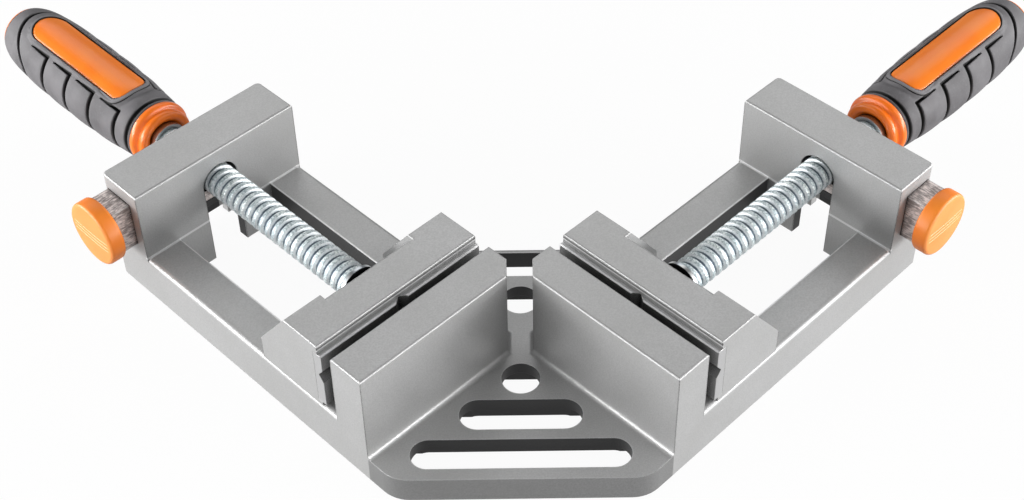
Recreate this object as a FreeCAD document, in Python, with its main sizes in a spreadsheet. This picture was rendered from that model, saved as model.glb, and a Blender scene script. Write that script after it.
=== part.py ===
import FreeCAD, Part
import math
import os
import Sketcher

doc = FreeCAD.newDocument("corner_clamp")
vector = FreeCAD.Vector

# Driving sizes in millimetres.
# Each arm is measured in its own plan: "along" runs down the screw away from the
# fixed jaw, whose clamp face is at zero, and "across" runs from the screw's centre plane.
SIZES = [
    ("arm_centre", 56.25, "corner point to the middle of an arm, along the jaw face"),
    ("arm_width", 79.5, "outside width of an arm"),
    ("rail_width", 16.3, "width of each of the two rails"),
    ("rail_height", 22.0, "bench to the rail tops"),
    ("rail_round", 2.4, "round along the outer top edge of a rail"),
    ("ledge_height", 8.0, "bench to the ledge that the keeper plate hooks under"),
    ("ledge_depth", 4.2, "how far the ledge cuts into each rail"),
    ("core_depth", 13.5, "depth of the cored channel under a rail"),
    ("core_width", 5.4, "width of the cored channel under a rail"),
    ("jaw_thickness", 16.3, "thickness of the fixed jaw"),
    ("jaw_top", 54.5, "bench to the top of the fixed jaw"),
    ("casting_wall", 4.0, "wall of the hollow castings"),
    ("jaw_slot", 9.9, "width of the slot between the two fixed jaws"),
    ("edge_round", 1.0, "small round on the outer casting edges"),
    ("block_start", 117.3, "clamp face to the inner face of the nut block"),
    ("block_depth", 22.5, "depth of the nut block along the screw"),
    ("block_top", 55.5, "bench to the top of the nut block"),
    ("block_round", 2.2, "round on the upright corners of the nut block"),
    ("block_floor", 3.0, "floor between the slide bar and the cored underside"),
    ("notch_width", 25.0, "width of the notch under the nut block's outer wall"),
    ("notch_height", 6.4, "height of the notch under the nut block's outer wall"),
    ("plate_thickness", 11.7, "outer height of the corner plate"),
    ("plate_web", 5.4, "thickness of the corner plate inside its rim"),
    ("rear_web", 8.3, "thickness of the rear web and its bars"),
    ("short_rib", 9.4, "depth of the rib behind the short slot"),
    ("long_rib", 7.2, "depth of the rib behind the long slot"),
    ("rib_width", 3.0, "thickness of the two ribs under the corner plate"),
    ("jaw_fillet", 2.2, "fillet where the fixed jaws rise from the corner plate"),
    ("plate_rim", 5.5, "width of the rim under the corner plate"),
    ("plate_front", 89.1, "corner point to the front edge of the plate"),
    ("plate_back", 29.4, "corner point to the back edge of the rear web"),
    ("plate_corner", 14.0, "radius of the two front corners"),
    ("front_hole", 15.0, "diameter of the front round hole"),
    ("front_hole_place", 41.3, "corner point to the front round hole"),
    ("rear_hole", 14.8, "diameter of the relief hole under the corner point"),
    ("short_slot_length", 46.8, "overall length of the short slot"),
    ("short_slot_width", 14.2, "width of the short slot"),
    ("short_slot_place", 58.9, "corner point to the middle of the short slot"),
    ("long_slot_length", 82.3, "overall length of the long slot"),
    ("long_slot_width", 13.3, "width of the long slot"),
    ("long_slot_place", 77.4, "corner point to the middle of the long slot"),
    ("rear_window_start", 13.3, "corner point to the front edge of the rear window"),
    ("rear_bar", 3.0, "width of the bar behind the rear window"),
    ("rear_window_side", 6.0, "wall between the rear window and a rail"),
    ("screw_height", 39.6, "bench to the centre of the screw"),
    ("screw_diameter", 14.0, "outside diameter of the thread"),
    ("screw_clearance", 0.35, "radial room around the screw in the nut block"),
    ("keyhole_width", 16.8, "width of the open slot that the screw drops through"),
    ("slide_clearance", 0.2, "room on each sliding face"),
    ("mover_top", 55.0, "bench to the top of the moving jaw"),
    ("mover_front", 7.4, "clamp face to the front lip of the moving jaw at rest"),
    ("mover_lip", 4.0, "height of the lip over the clamp plate"),
    ("mover_ear_back", 26.0, "clamp face to the back of an ear's top"),
    ("mover_foot_back", 42.5, "clamp face to the back of the foot"),
    ("mover_foot_height", 11.0, "height of the foot above the rails"),
    ("mover_middle_back", 22.8, "clamp face to the back of the middle's top"),
    ("mover_hub_back", 31.0, "clamp face to the thrust face of the hub"),
    ("mover_middle_foot", 38.0, "clamp face to the back of the foot between the ears"),
    ("mover_ear_width", 18.0, "width of each ear"),
    ("mover_foot_web", 6.8, "thickness of the foot between the ears"),
    ("tongue_start", 12.0, "clamp face to the front of the guide tongue"),
    ("pad_gap", 5.5, "opening between the clamp faces at rest"),
    ("pad_thickness", 4.2, "thickness of the clamp plate"),
    ("pad_height", 26.5, "height of the clamp plate"),
    ("groove_depth", 2.3, "depth of the two vee grooves in the clamp plate"),
    ("groove_width", 6.2, "width of the two vee grooves"),
    ("groove_height", 40.0, "bench to the level groove"),
    ("pad_screw_place", 27.0, "screw centre plane to each clamp plate screw"),
    ("pad_screw_height", 30.4, "bench to the clamp plate screws"),
    ("pad_screw_diameter", 4.0, "shank of a clamp plate screw"),
    ("pad_screw_head", 8.0, "head of a clamp plate screw"),
    ("pad_screw_length", 14.0, "length of a clamp plate screw"),
    ("keeper_thickness", 3.2, "thickness of the keeper plate"),
    ("keeper_start", 12.0, "clamp face to the front of the keeper plate"),
    ("keeper_length", 26.0, "length of the keeper plate"),
    ("keeper_overlap", 3.4, "how far the keeper plate hooks under each rail"),
    ("keeper_screw_place", 14.0, "screw centre plane to each keeper screw"),
    ("keeper_screw_diameter", 5.0, "shank of a keeper screw"),
    ("keeper_screw_head", 8.5, "head of a keeper screw"),
    ("keeper_head_height", 2.8, "height of a keeper screw's head"),
    ("keeper_screw_length", 13.0, "length of a keeper screw under its head"),
    ("washer_thickness", 1.4, "thickness of the thrust washer"),
    ("washer_diameter", 17.0, "outside diameter of the thrust washer"),
    ("journal_diameter", 9.5, "plain end of the screw inside the moving jaw"),
    ("journal_length", 18.4, "length of the plain end"),
    ("journal_clearance", 0.06, "radial running room on the plain end"),
    ("neck_diameter", 6.5, "neck that the retaining pins sit in"),
    ("neck_start", 10.4, "thrust face to the middle of the neck"),
    ("retaining_pin", 3.0, "diameter of a retaining pin"),
    ("retaining_room", 0.12, "room between a retaining pin and the neck"),
    ("thread_end", 150.5, "clamp face to the outer end of the thread"),
    ("shank_diameter", 11.8, "plain end of the screw inside the handle"),
    ("shank_end", 204.0, "clamp face to the end of the plain shank"),
    ("handle_start", 153.5, "clamp face to the near end of the handle"),
    ("collar_diameter", 28.4, "ring of the handle collar that meets the grip"),
    ("flare_diameter", 25.2, "smaller ring of the handle collar"),
    ("grip_start", 161.0, "clamp face to the near end of the rubber"),
    ("grip_end", 258.5, "clamp face to the far end of the rubber"),
    ("grip_near", 28.8, "grip diameter at its near end"),
    ("grip_middle", 33.7, "largest grip diameter"),
    ("grip_middle_place", 207.0, "clamp face to the largest grip diameter"),
    ("grip_far", 30.7, "grip diameter near its far end, before the shoulder"),
    ("grip_tip", 25.2, "grip diameter at its far end"),
    ("core_diameter", 24.0, "hard core under the rubber"),
    ("dome_length", 4.5, "length of the dome past the rubber"),
    ("inlay_start", 174.0, "clamp face to the near end of the inlay"),
    ("inlay_end", 243.0, "clamp face to the far end of the inlay"),
    ("inlay_width", 16.5, "width of the inlay"),
    ("inlay_sink", 0.5, "how far the inlay lies below the rubber"),
    ("inlay_fit", 0.05, "gap between the inlay and the rubber"),
    ("ring_groove_width", 1.8, "width of a groove moulded round the grip"),
    ("ring_groove_depth", 1.1, "depth of a groove moulded round the grip"),
    ("ring_groove_place", 2.4, "near end of the rubber to the first ring groove"),
    ("ferrule_diameter", 15.8, "steel ferrule in the mouth of the collar"),
    ("ferrule_length", 3.4, "length of the ferrule"),
    ("handle_pin_diameter", 4.0, "cross pin through the handle"),
    ("handle_pin_place", 180.0, "clamp face to the cross pin"),
    ("handle_pin_length", 23.0, "length of the cross pin"),
    ("bar_start", 122.6, "clamp face to the front of the slide bar"),
    ("bar_thickness", 14.2, "thickness of the slide bar along the screw"),
    ("bar_height", 21.4, "height of the slide bar"),
    ("bar_centre", 38.0, "bench to the middle of the slide bar"),
    ("bar_inner", 25.3, "screw centre plane to the hidden end of the slide bar"),
    ("release_travel", 4.0, "how far the button goes in"),
    ("release_rest", 0.3, "room left at the end of the button's travel"),
    ("button_gap", 8.4, "block to the back of the button at rest"),
    ("button_diameter", 28.0, "diameter of the button"),
    ("button_thickness", 7.2, "thickness of the button"),
    ("button_round", 1.8, "round on the button's edges"),
    ("tang_length", 4.0, "length of the tang inside the button"),
    ("tang_width", 9.0, "width of the tang inside the button"),
    ("tang_height", 14.0, "height of the tang inside the button"),
    ("stop_pin_diameter", 3.0, "pin that keeps the slide bar in"),
    ("stop_pin_place", 25.0, "screw centre plane to the stop pin at rest"),
    ("stop_pin_length", 15.0, "length of the stop pin"),
    ("stop_pin_grip", 9.0, "length of the stop pin inside the block's floor boss"),
    ("spring_diameter", 6.6, "outside diameter of the return spring"),
    ("spring_wire", 1.1, "wire of the return spring"),
    ("spring_length", 15.6, "length of the return spring when pressed"),
    ("spring_turns", 5.0, "turns of the return spring"),
    ("spring_bore", 7.6, "bore that the return spring sits in"),
]

sheet = doc.addObject("Spreadsheet::Sheet", "Sizes")
values = {}
for row, (alias, value, meaning) in enumerate(SIZES, start=1):
    sheet.set(f"A{row}", meaning)
    sheet.set(f"B{row}", f"{value}")
    sheet.setAlias(f"B{row}", alias)
    values[alias] = value
doc.recompute()


class Length:
    """A length in millimetres that also keeps the sheet formula it comes from."""

    def __init__(self, value, formula):
        self.value = value
        self.formula = formula

    def __add__(self, other):
        other = length(other)
        return Length(self.value + other.value, f"({self.formula} + {other.formula})")

    def __sub__(self, other):
        other = length(other)
        return Length(self.value - other.value, f"({self.formula} - {other.formula})")

    def __mul__(self, factor):
        return Length(self.value * factor, f"({self.formula} * {factor:.9f})")

    def __truediv__(self, factor):
        return self * (1.0 / factor)

    def __neg__(self):
        return self * -1.0

    def __radd__(self, other):
        return length(other) + self

    def __rsub__(self, other):
        return length(other) - self

    __rmul__ = __mul__


def length(number):
    """A plain number as a Length."""
    if isinstance(number, Length):
        return number
    return Length(float(number), f"{float(number):.6f}")


def size(alias):
    """The named size of the sheet as a Length."""
    return Length(values[alias], f"Sizes.{alias}")


def bind(thing, name, amount):
    """Sets a property now and ties it to the sheet."""
    thing.setExpression(name, length(amount).formula)


def plane_of(body, role):
    """The body's own origin plane, such as XY_Plane."""
    return next(feature for feature in body.Origin.OriginFeatures if feature.Role == role)


def sketch(body, role, offset=0.0):
    """A new sketch on an origin plane of the body, moved along the plane's normal."""
    drawing = body.newObject("Sketcher::SketchObject", body.Name + "_sketch")
    drawing.AttachmentSupport = [(plane_of(body, role), "")]
    drawing.MapMode = "FlatFace"
    bind(drawing, "AttachmentOffset.Base.z", offset)
    return drawing


def pin_point(drawing, index, end, place):
    """Holds one point of the sketch at (x, y) from the sketch's origin."""
    for kind, amount in zip(("DistanceX", "DistanceY"), place):
        amount = length(amount)
        axis = -2 if kind == "DistanceX" else -1
        if amount.formula == length(0).formula:
            drawing.addConstraint(Sketcher.Constraint("PointOnObject", index, end, axis))
            continue
        number = drawing.addConstraint(
            Sketcher.Constraint(kind, -1, 1, index, end, amount.value))
        drawing.setExpression(f"Constraints[{number}]", amount.formula)


def polygon(drawing, places, arcs=None):
    """A closed outline whose corners are all tied to the sheet.

    arcs gives, for a side's number, the tied x of the centre it bends about.
    """
    places = [(length(x), length(y)) for x, y in places]
    arcs = arcs or {}
    first = drawing.GeometryCount
    count = len(places)
    up = vector(0, 0, 1)
    ends = []
    for number in range(count):
        here = places[number]
        there = places[(number + 1) % count]
        a = vector(here[0].value, here[1].value, 0)
        b = vector(there[0].value, there[1].value, 0)
        if number not in arcs:
            drawing.addGeometry(Part.LineSegment(a, b), False)
            ends.append((1, 2))
            continue
        across = length(arcs[number]).value
        level = (b.y ** 2 - a.y ** 2 + (b.x - across) ** 2 - (a.x - across) ** 2)
        centre = vector(across, level / (2 * (b.y - a.y)), 0)
        start = math.atan2(a.y - centre.y, a.x - centre.x)
        stop = math.atan2(b.y - centre.y, b.x - centre.x)
        forward = (a - centre).cross(b - centre).z > 0
        ring = Part.Circle(centre, up, (a - centre).Length)
        span = (start, stop) if forward else (stop, start)
        drawing.addGeometry(Part.ArcOfCircle(ring, *span), False)
        ends.append((1, 2) if forward else (2, 1))
    for number in range(count):
        after = (number + 1) % count
        drawing.addConstraint(Sketcher.Constraint(
            "Coincident", first + number, ends[number][1], first + after, ends[after][0]))
    for number, place in enumerate(places):
        pin_point(drawing, first + number, ends[number][0], place)
    for number, across in arcs.items():
        across = length(across)
        hold = drawing.addConstraint(Sketcher.Constraint(
            "DistanceX", -1, 1, first + number, 3, across.value))
        drawing.setExpression(f"Constraints[{hold}]", across.formula)


def rectangle(drawing, low, high):
    """An upright rectangle between two opposite corners."""
    polygon(drawing, [low, (high[0], low[1]), high, (low[0], high[1])])


def circle(drawing, place, diameter):
    """A circle at a tied place with a tied diameter."""
    place = (length(place[0]), length(place[1]))
    index = drawing.addGeometry(Part.Circle(
        vector(place[0].value, place[1].value, 0), vector(0, 0, 1), diameter.value / 2))
    number = drawing.addConstraint(Sketcher.Constraint("Diameter", index, diameter.value))
    drawing.setExpression(f"Constraints[{number}]", diameter.formula)
    pin_point(drawing, index, 3, place)


def oblong(drawing, start, end, width):
    """A slot with round ends; start and end are the centres of the ends, level or upright."""
    start = tuple(length(part) for part in start)
    end = tuple(length(part) for part in end)
    first = drawing.GeometryCount
    radius = width.value / 2
    level = abs(start[1].value - end[1].value) < abs(start[0].value - end[0].value)
    a = vector(start[0].value, start[1].value, 0)
    b = vector(end[0].value, end[1].value, 0)
    turn = math.atan2(b.y - a.y, b.x - a.x)
    side = vector(-math.sin(turn), math.cos(turn), 0) * radius
    up = vector(0, 0, 1)
    quarter = math.pi / 2
    drawing.addGeometry(Part.ArcOfCircle(
        Part.Circle(a, up, radius), turn + quarter, turn + 3 * quarter))
    drawing.addGeometry(Part.LineSegment(a - side, b - side))
    drawing.addGeometry(Part.ArcOfCircle(
        Part.Circle(b, up, radius), turn - quarter, turn + quarter))
    drawing.addGeometry(Part.LineSegment(b + side, a + side))
    tangents = ((0, 2, 1, 1), (1, 2, 2, 1), (2, 2, 3, 1), (3, 2, 0, 1))
    for one, end_one, two, end_two in tangents:
        drawing.addConstraint(Sketcher.Constraint(
            "Tangent", first + one, end_one, first + two, end_two))
    number = drawing.addConstraint(Sketcher.Constraint("Diameter", first, width.value))
    drawing.setExpression(f"Constraints[{number}]", width.formula)
    pin_point(drawing, first, 3, start)
    kind = "DistanceX" if level else "DistanceY"
    reach = end[0] if level else end[1]
    number = drawing.addConstraint(
        Sketcher.Constraint(kind, -1, 1, first + 2, 3, reach.value))
    drawing.setExpression(f"Constraints[{number}]", reach.formula)
    lined = "Horizontal" if level else "Vertical"
    drawing.addConstraint(Sketcher.Constraint(lined, first + 1))


def pad(body, drawing, height, both=False, back=False):
    """Adds material from the sketch."""
    feature = body.newObject("PartDesign::Pad", body.Name + "_pad")
    feature.Profile = drawing
    feature.Midplane = both
    feature.Reversed = back
    bind(feature, "Length", height)
    return feature


def pocket(body, drawing, depth, both=False, back=False):
    """Cuts material behind the sketch."""
    feature = body.newObject("PartDesign::Pocket", body.Name + "_pocket")
    feature.Profile = drawing
    feature.Midplane = both
    feature.Reversed = back
    bind(feature, "Length", depth)
    return feature


def axis_line(drawing, height):
    """A level construction line that a profile in this sketch turns about."""
    height = length(height)
    index = drawing.addGeometry(
        Part.LineSegment(vector(0, height.value, 0), vector(10, height.value, 0)), True)
    pin_point(drawing, index, 1, (0.0, height))
    drawing.addConstraint(Sketcher.Constraint("Horizontal", index))
    number = drawing.addConstraint(Sketcher.Constraint("Distance", index, 10.0))
    return number


def turned(body, drawing, cut=False, angle=360.0):
    """Revolves a profile about the construction line of its own sketch."""
    kind = "PartDesign::Groove" if cut else "PartDesign::Revolution"
    feature = body.newObject(kind, body.Name + "_turned")
    feature.Profile = drawing
    feature.ReferenceAxis = (drawing, ["Axis0"])
    feature.Angle = angle
    return feature


def rings_where(feature, radius, test):
    """Names of the feature's full circles of one radius whose centre passes a test."""
    found = []
    for number, edge in enumerate(feature.Shape.Edges, start=1):
        closed = len(edge.Vertexes) == 1 and hasattr(edge.Curve, "Radius")
        if closed and near(edge.Curve.Radius, radius) and test(edge.Curve.Center):
            found.append(f"Edge{number}")
    return found


def soften_rings(body, amount, radius, test, kind="PartDesign::Fillet"):
    """Rounds or chamfers whole circular edges of the body's last feature."""
    doc.recompute()
    last = body.Tip
    names = rings_where(last, radius, test)
    feature = body.newObject(kind, body.Name + "_rim")
    feature.Base = (last, names)
    bind(feature, "Radius" if kind == "PartDesign::Fillet" else "Size", amount)
    return feature


def edges_where(feature, test):
    """Names of the feature's edges that pass a test of their two end points."""
    found = []
    for number, edge in enumerate(feature.Shape.Edges, start=1):
        ends = [vertex.Point for vertex in edge.Vertexes]
        if len(ends) == 2 and test(ends[0], ends[1]):
            found.append(f"Edge{number}")
    return found


def soften(body, amount, test, kind="PartDesign::Fillet"):
    """Rounds or chamfers the edges of the body's last feature that pass the test."""
    doc.recompute()
    last = body.Tip
    names = edges_where(last, test)
    feature = body.newObject(kind, body.Name + "_edges")
    feature.Base = (last, names)
    bind(feature, "Radius" if kind == "PartDesign::Fillet" else "Size", amount)
    return feature


def near(one, other, room=0.01):
    """True where two numbers match."""
    return abs(one - other) < room


# The arms stand at a right angle, so each is turned 45 degrees from the mirror plane.
ARM_TURN = 45.0
ROOT = math.sqrt(2.0)
PARTS = []


def finish(thing, label):
    """Names a finished sub-part."""
    thing.Label = label
    PARTS.append(thing)
    return thing


def set_on_arm(thing, left):
    """Stands a piece drawn in arm measures on the left or the right arm."""
    turn = 180.0 - ARM_TURN if left else ARM_TURN
    thing.Placement = FreeCAD.Placement(
        vector(0, 0, 0), FreeCAD.Rotation(vector(0, 0, 1), turn))
    reach = size("arm_centre") / ROOT
    bind(thing, "Placement.Base.x", -reach if left else reach)
    bind(thing, "Placement.Base.y", -reach)


def on_plan(along, across, left):
    """Plan point of an arm position, measured from the corner point."""
    across = size("arm_centre") + across
    sideways = (across + along) / ROOT
    return (-sideways if left else sideways, (length(along) - across) / ROOT)


half_arm = size("arm_width") / 2
rail_inner = half_arm - size("rail_width")
block_end = size("block_start") + size("block_depth")
slot_reach = size("jaw_slot") / 2 * ROOT
bar_back = size("bar_start") + size("bar_thickness")
cavity_front = size("bar_start") - size("slide_clearance")
cavity_back = bar_back + size("slide_clearance")
bar_middle = size("bar_start") + size("bar_thickness") / 2
cavity_low = size("bar_centre") - size("bar_height") / 2 - size("slide_clearance")
cavity_high = size("bar_centre") + size("bar_height") / 2 + size("slide_clearance")
cavity_end = size("bar_inner") + size("release_travel") + size("release_rest")
hub_neck = size("mover_hub_back") - size("neck_start")
pin_offset = (size("neck_diameter") + size("retaining_pin")) / 2 + size("retaining_room")
pad_front = size("pad_gap")
pad_back = pad_front + size("pad_thickness")
lip_low = size("mover_top") - size("mover_lip")
foot_low = size("rail_height") + size("slide_clearance")
keeper_high = size("ledge_height") - size("slide_clearance") * 1.5
keeper_low = keeper_high - size("keeper_thickness")


# Base casting
# One aluminium casting: two arms at a right angle, each with two rails, a nut block
# and a fixed jaw, joined by a slotted corner plate and a rear web.
base = doc.addObject("PartDesign::Body", "base_casting")

drawing = sketch(base, "XY_Plane")
front_reach = size("plate_front")
inner = size("jaw_thickness") / 4
back_along = (size("plate_back") * ROOT + size("arm_centre") - half_arm
              + size("rail_width") / 2)
web_across = size("rail_width") / 2 - half_arm
front_corner = size("arm_centre") * ROOT + half_arm * ROOT - front_reach
outline = []
for left, order in ((False, 1), (True, -1)):
    half = [
        (front_corner * order, -front_reach),
        on_plan(-inner, half_arm, left),
        on_plan(-inner, web_across, left),
        on_plan(back_along, web_across, left),
    ]
    outline += half if not left else half[::-1]
polygon(drawing, outline)
pad(base, drawing, size("plate_thickness"))


def front_corner_edge(one, two):
    """True for the two upright front corners of the plate."""
    upright = near(one.x, two.x) and near(one.y, two.y)
    return upright and near(one.y, -values["plate_front"])


soften(base, size("plate_corner"), front_corner_edge)


def arm_plane(body, left, along):
    """A sketch square to the screw, with its origin under the screw at the bench."""
    drawing = sketch(body, "XY_Plane")
    sideways = -1.0 if left else 1.0
    across = vector(1.0, -sideways, 0) / ROOT
    inward = vector(-sideways, -1.0, 0) / ROOT
    place = on_plan(along, 0.0, left)
    drawing.AttachmentOffset = FreeCAD.Placement(
        vector(0, 0, 0), FreeCAD.Rotation(across, vector(0, 0, 1), inward, "XYZ"))
    bind(drawing, "AttachmentOffset.Base.x", place[0])
    bind(drawing, "AttachmentOffset.Base.y", place[1])
    return drawing


def arm_box(body, left, along, across, low, high, cut=True):
    """Cuts or adds a box set square to one arm, between two heights."""
    drawing = sketch(body, "XY_Plane", high)
    polygon(drawing, [
        on_plan(along[0], across[0], left),
        on_plan(along[1], across[0], left),
        on_plan(along[1], across[1], left),
        on_plan(along[0], across[1], left),
    ])
    if cut:
        pocket(body, drawing, length(high) - low)
    else:
        pad(body, drawing, length(high) - low, back=True)


jaw_back = -size("jaw_thickness")
notch_along = slot_reach - size("arm_centre") + half_arm
notch_across = slot_reach - size("arm_centre") - jaw_back
wall = size("casting_wall")

for left in (False, True):
    drawing = sketch(base, "XY_Plane")
    polygon(drawing, [
        on_plan(jaw_back, half_arm, left),
        on_plan(block_end, half_arm, left),
        on_plan(block_end, -half_arm, left),
        on_plan(notch_along, -half_arm, left),
        on_plan(jaw_back, notch_across, left),
    ])
    pad(base, drawing, size("rail_height"))


def along_rail(one, two):
    """True for the long outer top edges of the rails."""
    high = near(one.z, values["rail_height"]) and near(two.z, values["rail_height"])
    return high and (one - two).Length > values["block_start"]


soften(base, size("rail_round"), along_rail)

for left in (False, True):
    jaw = [
        on_plan(jaw_back, half_arm, left),
        on_plan(0.0, half_arm, left),
        on_plan(0.0, -half_arm, left),
        on_plan(notch_along, -half_arm, left),
        on_plan(jaw_back, notch_across, left),
    ]
    drawing = sketch(base, "XY_Plane")
    polygon(drawing, jaw)
    pad(base, drawing, size("jaw_top"))
    arm_box(base, left, (size("block_start"), block_end), (-half_arm, half_arm),
            0.0, size("block_top"), cut=False)


def block_upright(one, two):
    """True for the outer upright corners of the nut blocks."""
    return near(one.x, two.x) and near(one.y, two.y) and (
        max(one.z, two.z) > values["block_top"] - 0.1) and min(one.z, two.z) < 0.1


soften(base, size("block_round"), block_upright)


def casting_top(one, two):
    """True for the level edges round the tops of the jaws and blocks."""
    level = near(one.z, two.z)
    return level and (near(one.z, values["block_top"]) or near(one.z, values["jaw_top"]))


soften(base, size("edge_round"), casting_top)


def on_jaw_foot(point):
    """True where a fixed jaw or the inner side of an arm meets the corner plate."""
    along = (abs(point.x) + point.y) / ROOT
    reach = (abs(point.x) - point.y) / ROOT
    jaw_front = near(along, -values["jaw_thickness"])
    neck = near(abs(point.x), values["jaw_slot"] / 2)
    inside = near(reach, values["arm_centre"] - values["arm_width"] / 2)
    return near(point.z, values["plate_thickness"]) and (jaw_front or neck or inside)


def jaw_foot(one, two):
    """True for the concave edges at the feet of the fixed jaws."""
    return on_jaw_foot(one) and on_jaw_foot(two)


soften(base, size("jaw_fillet"), jaw_foot)

# Openings between the rails, the ledges under them and the cored channels.
for left in (False, True):
    start = size("tongue_start") - size("pad_gap")
    arm_box(base, left, (start, size("block_start")), (-rail_inner, rail_inner),
            -1.0, size("rail_height") + 1.0)
    ledge = rail_inner + size("ledge_depth")
    arm_box(base, left, (start, size("block_start")), (-ledge, ledge),
            -1.0, size("ledge_height"))
    channel_end = size("block_start") - wall
    for side in (-1.0, 1.0):
        outer = (half_arm - wall) * side
        core = (half_arm - wall - size("core_width")) * side
        arm_box(base, left, (wall, channel_end), (core, outer),
                -1.0, size("core_depth"))

# Hollow undersides of the fixed jaws, in three cells between ribs.
for left in (False, True):
    first = notch_across + wall * 1.5
    span = half_arm - wall - first
    for cell in range(3):
        low = first + span * (cell / 3.0) + wall / 4
        high = first + span * ((cell + 1) / 3.0) - wall / 4
        arm_box(base, left, (jaw_back + wall, -wall), (low, high),
                -1.0, size("jaw_top") - wall)

# Nut blocks: slide bar channel, drop-through keyhole, screw exit and cored floor.
for left in (False, True):
    arm_box(base, left, (cavity_front, cavity_back), (-cavity_end, half_arm + 1.0),
            cavity_low, cavity_high)
    drawing = arm_plane(base, left, size("block_start"))
    oblong(drawing, (0.0, size("screw_height")), (0.0, -size("keyhole_width")),
           size("keyhole_width"))
    pocket(base, drawing, cavity_front - size("block_start"))
    drawing = arm_plane(base, left, cavity_back)
    circle(drawing, (0.0, size("screw_height")),
           size("screw_diameter") + size("screw_clearance") * 2)
    pocket(base, drawing, block_end - cavity_back + 1.0)
    floor_low = cavity_low - size("block_floor")
    arm_box(base, left, (cavity_front, block_end - wall),
            (wall - half_arm, half_arm - wall), -1.0, floor_low)
    notch = size("notch_width") / 2
    arm_box(base, left, (block_end - wall - 1.0, block_end + 1.0), (-notch, notch),
            -1.0, size("notch_height"))
    stop = on_plan(bar_middle, size("stop_pin_place"), left)
    drawing = sketch(base, "XY_Plane", cavity_low)
    circle(drawing, stop, size("stop_pin_diameter") * 3)
    pad(base, drawing, size("stop_pin_grip"), back=True)
    drawing = sketch(base, "XY_Plane", cavity_low)
    circle(drawing, stop, size("stop_pin_diameter"))
    pocket(base, drawing, size("stop_pin_grip") + 1.0)

# Corner plate: thinned web inside a rim, two holes, two slots and the rear window.
rim = size("plate_rim")
web_low = size("plate_thickness") - size("plate_web")
rim_front = rim - size("plate_front")
rim_corner = (size("arm_centre") + half_arm - rim) * ROOT + rim_front
hollow = []
for left, order in ((False, 1), (True, -1)):
    half = [
        (rim_corner * order, rim_front),
        on_plan(jaw_back, half_arm - rim, left),
        on_plan(jaw_back, notch_across + rim, left),
    ]
    hollow += half if not left else half[::-1]
drawing = sketch(base, "XY_Plane", web_low)
polygon(drawing, hollow)
pocket(base, drawing, web_low + 1.0)

# Two ribs under the corner plate, one behind each slot.
for slot, depth in (("short_slot", "short_rib"), ("long_slot", "long_rib")):
    front = size(slot + "_width") / 2 - size(slot + "_place") - 0.5
    back = front + size("rib_width") + 0.5
    reach = size(slot + "_length") / 2 + 1.0
    drawing = sketch(base, "XY_Plane", size("plate_thickness") - size(depth))
    rectangle(drawing, (-reach, front), (reach, back))
    pad(base, drawing, size(depth) - size("plate_web") + 0.5)

rail_line = (size("arm_centre") - half_arm) * ROOT
rear_side = size("rear_window_side") * ROOT
rear_web_low = size("plate_thickness") - size("rear_web")
spans = (
    (web_low, -size("rear_hole") / 2 - 2.0, size("rear_hole") / 2 + 0.5),
    (rear_web_low, size("rear_hole") / 2, size("plate_back") + 2.0),
)
for under, front, back in spans:
    drawing = sketch(base, "XY_Plane", under)
    polygon(drawing, [
        (-(rail_line + front - rear_side), front),
        (rail_line + front - rear_side, front),
        (rail_line + back - rear_side, back),
        (-(rail_line + back - rear_side), back),
    ])
    pocket(base, drawing, under + 1.0)

window_low = size("rear_window_start")
window_high = size("plate_back") - size("rear_bar")
drawing = sketch(base, "XY_Plane", size("plate_thickness") + 1.0)
polygon(drawing, [
    (-(rail_line + window_low - rear_side), window_low),
    (rail_line + window_low - rear_side, window_low),
    (rail_line + window_high - rear_side, window_high),
    (-(rail_line + window_high - rear_side), window_high),
])
pocket(base, drawing, size("plate_thickness") + 2.0)

for hole, place in (("front_hole", -size("front_hole_place")), ("rear_hole", 0.0)):
    drawing = sketch(base, "XY_Plane", size("plate_thickness") + 1.0)
    circle(drawing, (0.0, place), size(hole))
    pocket(base, drawing, size("plate_thickness") + 2.0)

for slot in ("short_slot", "long_slot"):
    drawing = sketch(base, "XY_Plane", size("plate_thickness") + 1.0)
    half = (size(slot + "_length") - size(slot + "_width")) / 2
    oblong(drawing, (-half, -size(slot + "_place")),
           (half, -size(slot + "_place")), size(slot + "_width"))
    pocket(base, drawing, size("plate_thickness") + 2.0)

finish(base, "base_casting")
doc.recompute()


def new_body(name):
    """An empty body for one rigid piece, or for a set of like fasteners."""
    body = doc.addObject("PartDesign::Body", name)
    body.AllowCompound = True
    return body


def block(body, along, across, low, high, cut=False):
    """Adds or cuts a box in arm measures, between two heights."""
    drawing = sketch(body, "XY_Plane", high)
    rectangle(drawing, (along[0], across[0]), (along[1], across[1]))
    if cut:
        pocket(body, drawing, length(high) - low)
    else:
        pad(body, drawing, length(high) - low, back=True)


def drill(body, place, diameter, low, high):
    """Cuts an upright round hole between two heights."""
    drawing = sketch(body, "XY_Plane", high)
    circle(drawing, place, diameter)
    pocket(body, drawing, length(high) - low)


def post(body, place, diameter, low, high):
    """Adds an upright round bar between two heights."""
    drawing = sketch(body, "XY_Plane", high)
    circle(drawing, place, diameter)
    pad(body, drawing, length(high) - low, back=True)


def bore(body, place, diameter, near_end, far_end):
    """Cuts a round hole along the screw; place is across and height."""
    drawing = sketch(body, "YZ_Plane", far_end)
    circle(drawing, place, diameter)
    pocket(body, drawing, length(far_end) - near_end)


def rod(body, place, diameter, near_end, far_end):
    """Adds a round bar along the screw; place is across and height."""
    drawing = sketch(body, "YZ_Plane", near_end)
    circle(drawing, place, diameter)
    pad(body, drawing, length(far_end) - near_end)


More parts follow.
